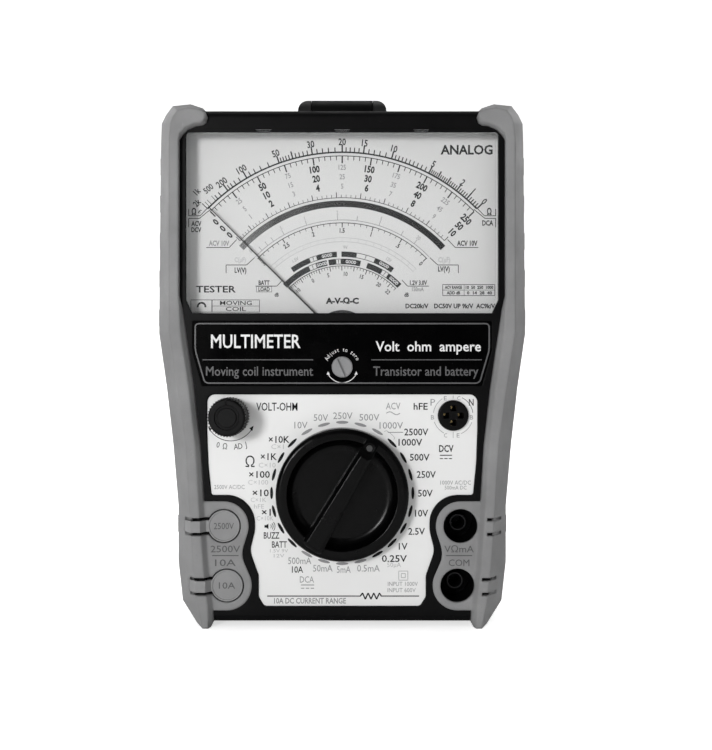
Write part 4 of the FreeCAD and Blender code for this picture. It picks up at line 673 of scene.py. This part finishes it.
for layer, x, z, span in (("black", 33.2, 54.4, 3.9), ("grey", -11.1, 12.9, 4.2)):
    panel[layer].line(x - span / 2, z + 0.35, x + span / 2, z + 0.35, 0.3)
    for i in (-1, 0, 1):
        middle, reach = x + i * span * 0.37, span * 0.13
        panel[layer].line(middle - reach, z - 0.7, middle + reach, z - 0.7, 0.28)
wave = [(16.3 + 2.2 * (i / 8 - 1), 68.2 + 0.45 * math.sin(math.pi * i / 8)) for i in range(17)]
panel["grey"].path(wave, 0.26)
panel["black"].line(14.6, 62.1, 19.5, 62.1, 0.16)
panel["grey"].path([(13.4, 62.4), (14.2, 62.6), (15.2, 62.0), (16.4, 60.9), (16.8, 60.3), (16.5, 59.7)], 0.12)

# line with a resistor's zigzag in it, above the words at the foot
LINE_Z = 9.7
panel["black"].line(-24.0, LINE_Z, 5.9, LINE_Z, 0.34)
panel["black"].line(12.4, LINE_Z, 24.6, LINE_Z, 0.34)
teeth = [(6.5 + 0.9 * i, LINE_Z + (1.0 if i % 2 == 0 else -1.0)) for i in range(7)]
panel["black"].path([(5.8, LINE_Z)] + teeth + [(12.5, LINE_Z)], 0.42)
panel["grey"].frame(18.1, 14.8, 21.0, 17.7, 0.16)
panel["grey"].frame(18.9, 15.6, 20.2, 16.9, 0.16)

# loudspeaker with three sound waves
for radius in (0.9, 1.5, 2.1):
    panel["black"].arc(-23.6, 32.0, radius, 0.2, 50, 130)
panel["black"].polygon([(-24.9, 31.6), (-24.3, 31.6), (-23.6, 31.1), (-23.6, 32.9), (-24.3, 32.4),
                        (-24.9, 32.4)])

# arc with an arrowhead at both ends under the ohm knob, and the words along it
R_OHM = 7.95
panel["black"].arc(*OHM, R_OHM, 0.22, 121, 238)
for turn, side in ((121, 1), (238, -1)):
    x, z = on_circle(*OHM, R_OHM, turn)
    head = [(x - 0.75 * side - 0.1, z + 0.2), (x + 0.1, z - 0.75), (x + 0.55 * side, z + 1.0)]
    panel["black"].polygon(head[::side])
for letter, x, z, turn in (("0", -39.7, 58.1, 12), ("Ω", -37.5, 57.6, 4), ("A", -34.0, 57.5, -5),
                           ("D", -32.6, 57.7, -8), ("J", -30.9, 58.2, -13)):
    panel["black"].text(letter, x, z, 1.8, turn=turn)
for first, last, layer in ((-82, -33, "grey"), (-152, -109, "grey"), (27, 82, "black"), (110, 156, "grey")):
    panel[layer].arc(*SOCKET, 6.35, 0.16, first, last)
for low, high in ((72.9, 73.9), (60.3, 62.3)):
    panel["grey"].line(SOCKET[0], low, SOCKET[0], high, 0.16)
for layer in panel.values():
    layer.build()


# ---------------------------------------------------------------- raised lettering on the rubber
JACK = {side: [centre_of(f"jack_sleeve_{side}_{row}") / MM for row in ("top", "low")]
        for side in ("left", "right")}
ISLAND_PROUD, CAP_PROUD = 0.2 * MM, 0.65 * MM
island_face = front_of("front_case") - ISLAND_PROUD
for side, words in (("left", ("2500V", "10A")), ("right", ("VΩmA", "COM"))):
    relief = Print(f"island_words_{side}", M["emboss"], "housing", "rubber_grey", island_face, 0.12)
    x = (JACK[side][0].x + JACK[side][1].x) / 2
    middle = (JACK[side][0].z + JACK[side][1].z) / 2 + 0.1
    relief.text(words[0], x, middle + 2.1, 2.1, width=9.4)
    relief.text(words[1], x, middle - 2.3, 2.1, width=6.6)
    relief.line(x - 4.2, middle, x + 4.2, middle, 0.3)
    relief.build()
for cap, body, jack, words, width in (("cap_2500v", "upper_cap", JACK["left"][0], "2500V", 6.4),
                                      ("cap_10a", "lower_cap", JACK["left"][1], "10A", 5.2)):
    relief = Print(f"{cap}_words", M["emboss"], body, "rubber_grey", PANEL - CAP_PROUD, 0.14, 0.06)
    relief.text(words, jack.x, jack.z, 2.0, width=width)
    relief.build()


# ---------------------------------------------------------------- floor, light and camera
def plain(name, colour, rough, glow):
    """Plain finish that glows only as the camera sees it, so that it lights nothing."""
    material, tree, shader = new_material(name)
    tree.links.new(ramp(tree, noise(tree, 3.0), ((0.3, tuple(c * 0.985 for c in colour)), (0.7, colour))),
                   shader.inputs["Base Color"])
    shader.inputs["Roughness"].default_value = rough
    shader.inputs["Emission Color"].default_value = (1, 1, 1, 1)
    seen = tree.nodes.new("ShaderNodeLightPath").outputs["Is Camera Ray"]
    tree.links.new(spread(tree, seen, 0.0, glow, 0.0, 1.0), shader.inputs["Emission Strength"])
    return material


def sweep_backdrop():
    """Pale floor that curves up into a backdrop far behind the object."""
    front, flat_end, bend, top, half_width, steps = -3.0, 0.9, 0.7, 4.0, 4.0, 12
    profile = [(front, 0.0), (flat_end, 0.0)]
    for i in range(1, steps + 1):
        t = math.pi / 2 * i / steps
        profile.append((flat_end + bend * math.sin(t), bend - bend * math.cos(t)))
    profile.append((flat_end + bend, top))
    mesh = bmesh.new()
    rows = [[mesh.verts.new((x, y, z)) for y, z in profile] for x in (-half_width, half_width)]
    for i in range(len(profile) - 1):
        face = mesh.faces.new((rows[0][i], rows[1][i], rows[1][i + 1], rows[0][i + 1]))
        face.smooth = True
    data = bpy.data.meshes.new("backdrop")
    mesh.to_mesh(data)
    mesh.free()
    data.materials.append(plain("backdrop_white", (0.93, 0.93, 0.93), 0.8, 0.62))
    ground = bpy.data.objects.new("backdrop", data)
    bpy.context.scene.collection.objects.link(ground)


def area_light(name, place, aim, width, height, power):
    data = bpy.data.lights.new(name, "AREA")
    data.shape = "RECTANGLE"
    data.size, data.size_y, data.energy = width, height, power
    light = bpy.data.objects.new(name, data)
    light.location = place
    light.rotation_euler = (Vector(aim) - Vector(place)).to_track_quat("-Z", "Y").to_euler()
    bpy.context.scene.collection.objects.link(light)


sweep_backdrop()
MIDDLE = 0.083
aim = Vector((0, PANEL, MIDDLE))
area_light("key", (-0.42, PANEL - 0.9, MIDDLE + 0.14), aim, 0.2, 0.2, 5.2)
area_light("fill", (0.9, -0.9, 0.35), aim, 0.9, 0.9, 0.6)
area_light("top", (-0.1, 0.1, 1.1), aim, 0.9, 0.5, 2.5)
area_light("back_left", (-0.8, 0.9, 0.6), (0, 0, 0.1), 0.8, 0.8, 6.0)
area_light("back_right", (0.8, 0.9, 0.6), (0, 0, 0.1), 0.8, 0.8, 6.0)

# white sky behind the object, weaker as a light and weaker still in reflections
world = bpy.data.worlds.new("studio")
world.use_nodes = True
sky_tree = world.node_tree
sky = sky_tree.nodes["Background"]
sky.inputs["Color"].default_value = (1, 1, 1, 1)
path = sky_tree.nodes.new("ShaderNodeLightPath").outputs
level = sky_tree.nodes.new("ShaderNodeMath")
level.operation = "SUBTRACT"
sky_tree.links.new(spread(sky_tree, path["Is Camera Ray"], 0.3, 1.0, 0.0, 1.0), level.inputs[0])
sky_tree.links.new(spread(sky_tree, path["Is Glossy Ray"], 0.0, 0.22, 0.0, 1.0), level.inputs[1])
sky_tree.links.new(level.outputs[0], sky.inputs["Strength"])
bpy.context.scene.world = world
bpy.context.scene.view_settings.view_transform = "Standard"

# camera square to the panel; the picture's middle lies a little right of and below the camera's axis
DISTANCE, VIEW_WIDTH, SENSOR = 0.35, 0.22784, 36.0
VIEW_RIGHT, VIEW_DOWN = 0.004416, 0.00256
camera_data = bpy.data.cameras.new("camera")
camera_data.sensor_fit = "HORIZONTAL"
camera_data.sensor_width = SENSOR
camera_data.lens = SENSOR * DISTANCE / VIEW_WIDTH
camera_data.shift_x = VIEW_RIGHT / VIEW_WIDTH
camera_data.shift_y = -VIEW_DOWN / VIEW_WIDTH
camera_data.clip_start = 0.01
camera = bpy.data.objects.new("camera", camera_data)
camera.location = (0, PANEL - DISTANCE, MIDDLE)
camera.rotation_euler = (math.pi / 2, 0, 0)
bpy.context.scene.collection.objects.link(camera)
bpy.context.scene.camera = camera

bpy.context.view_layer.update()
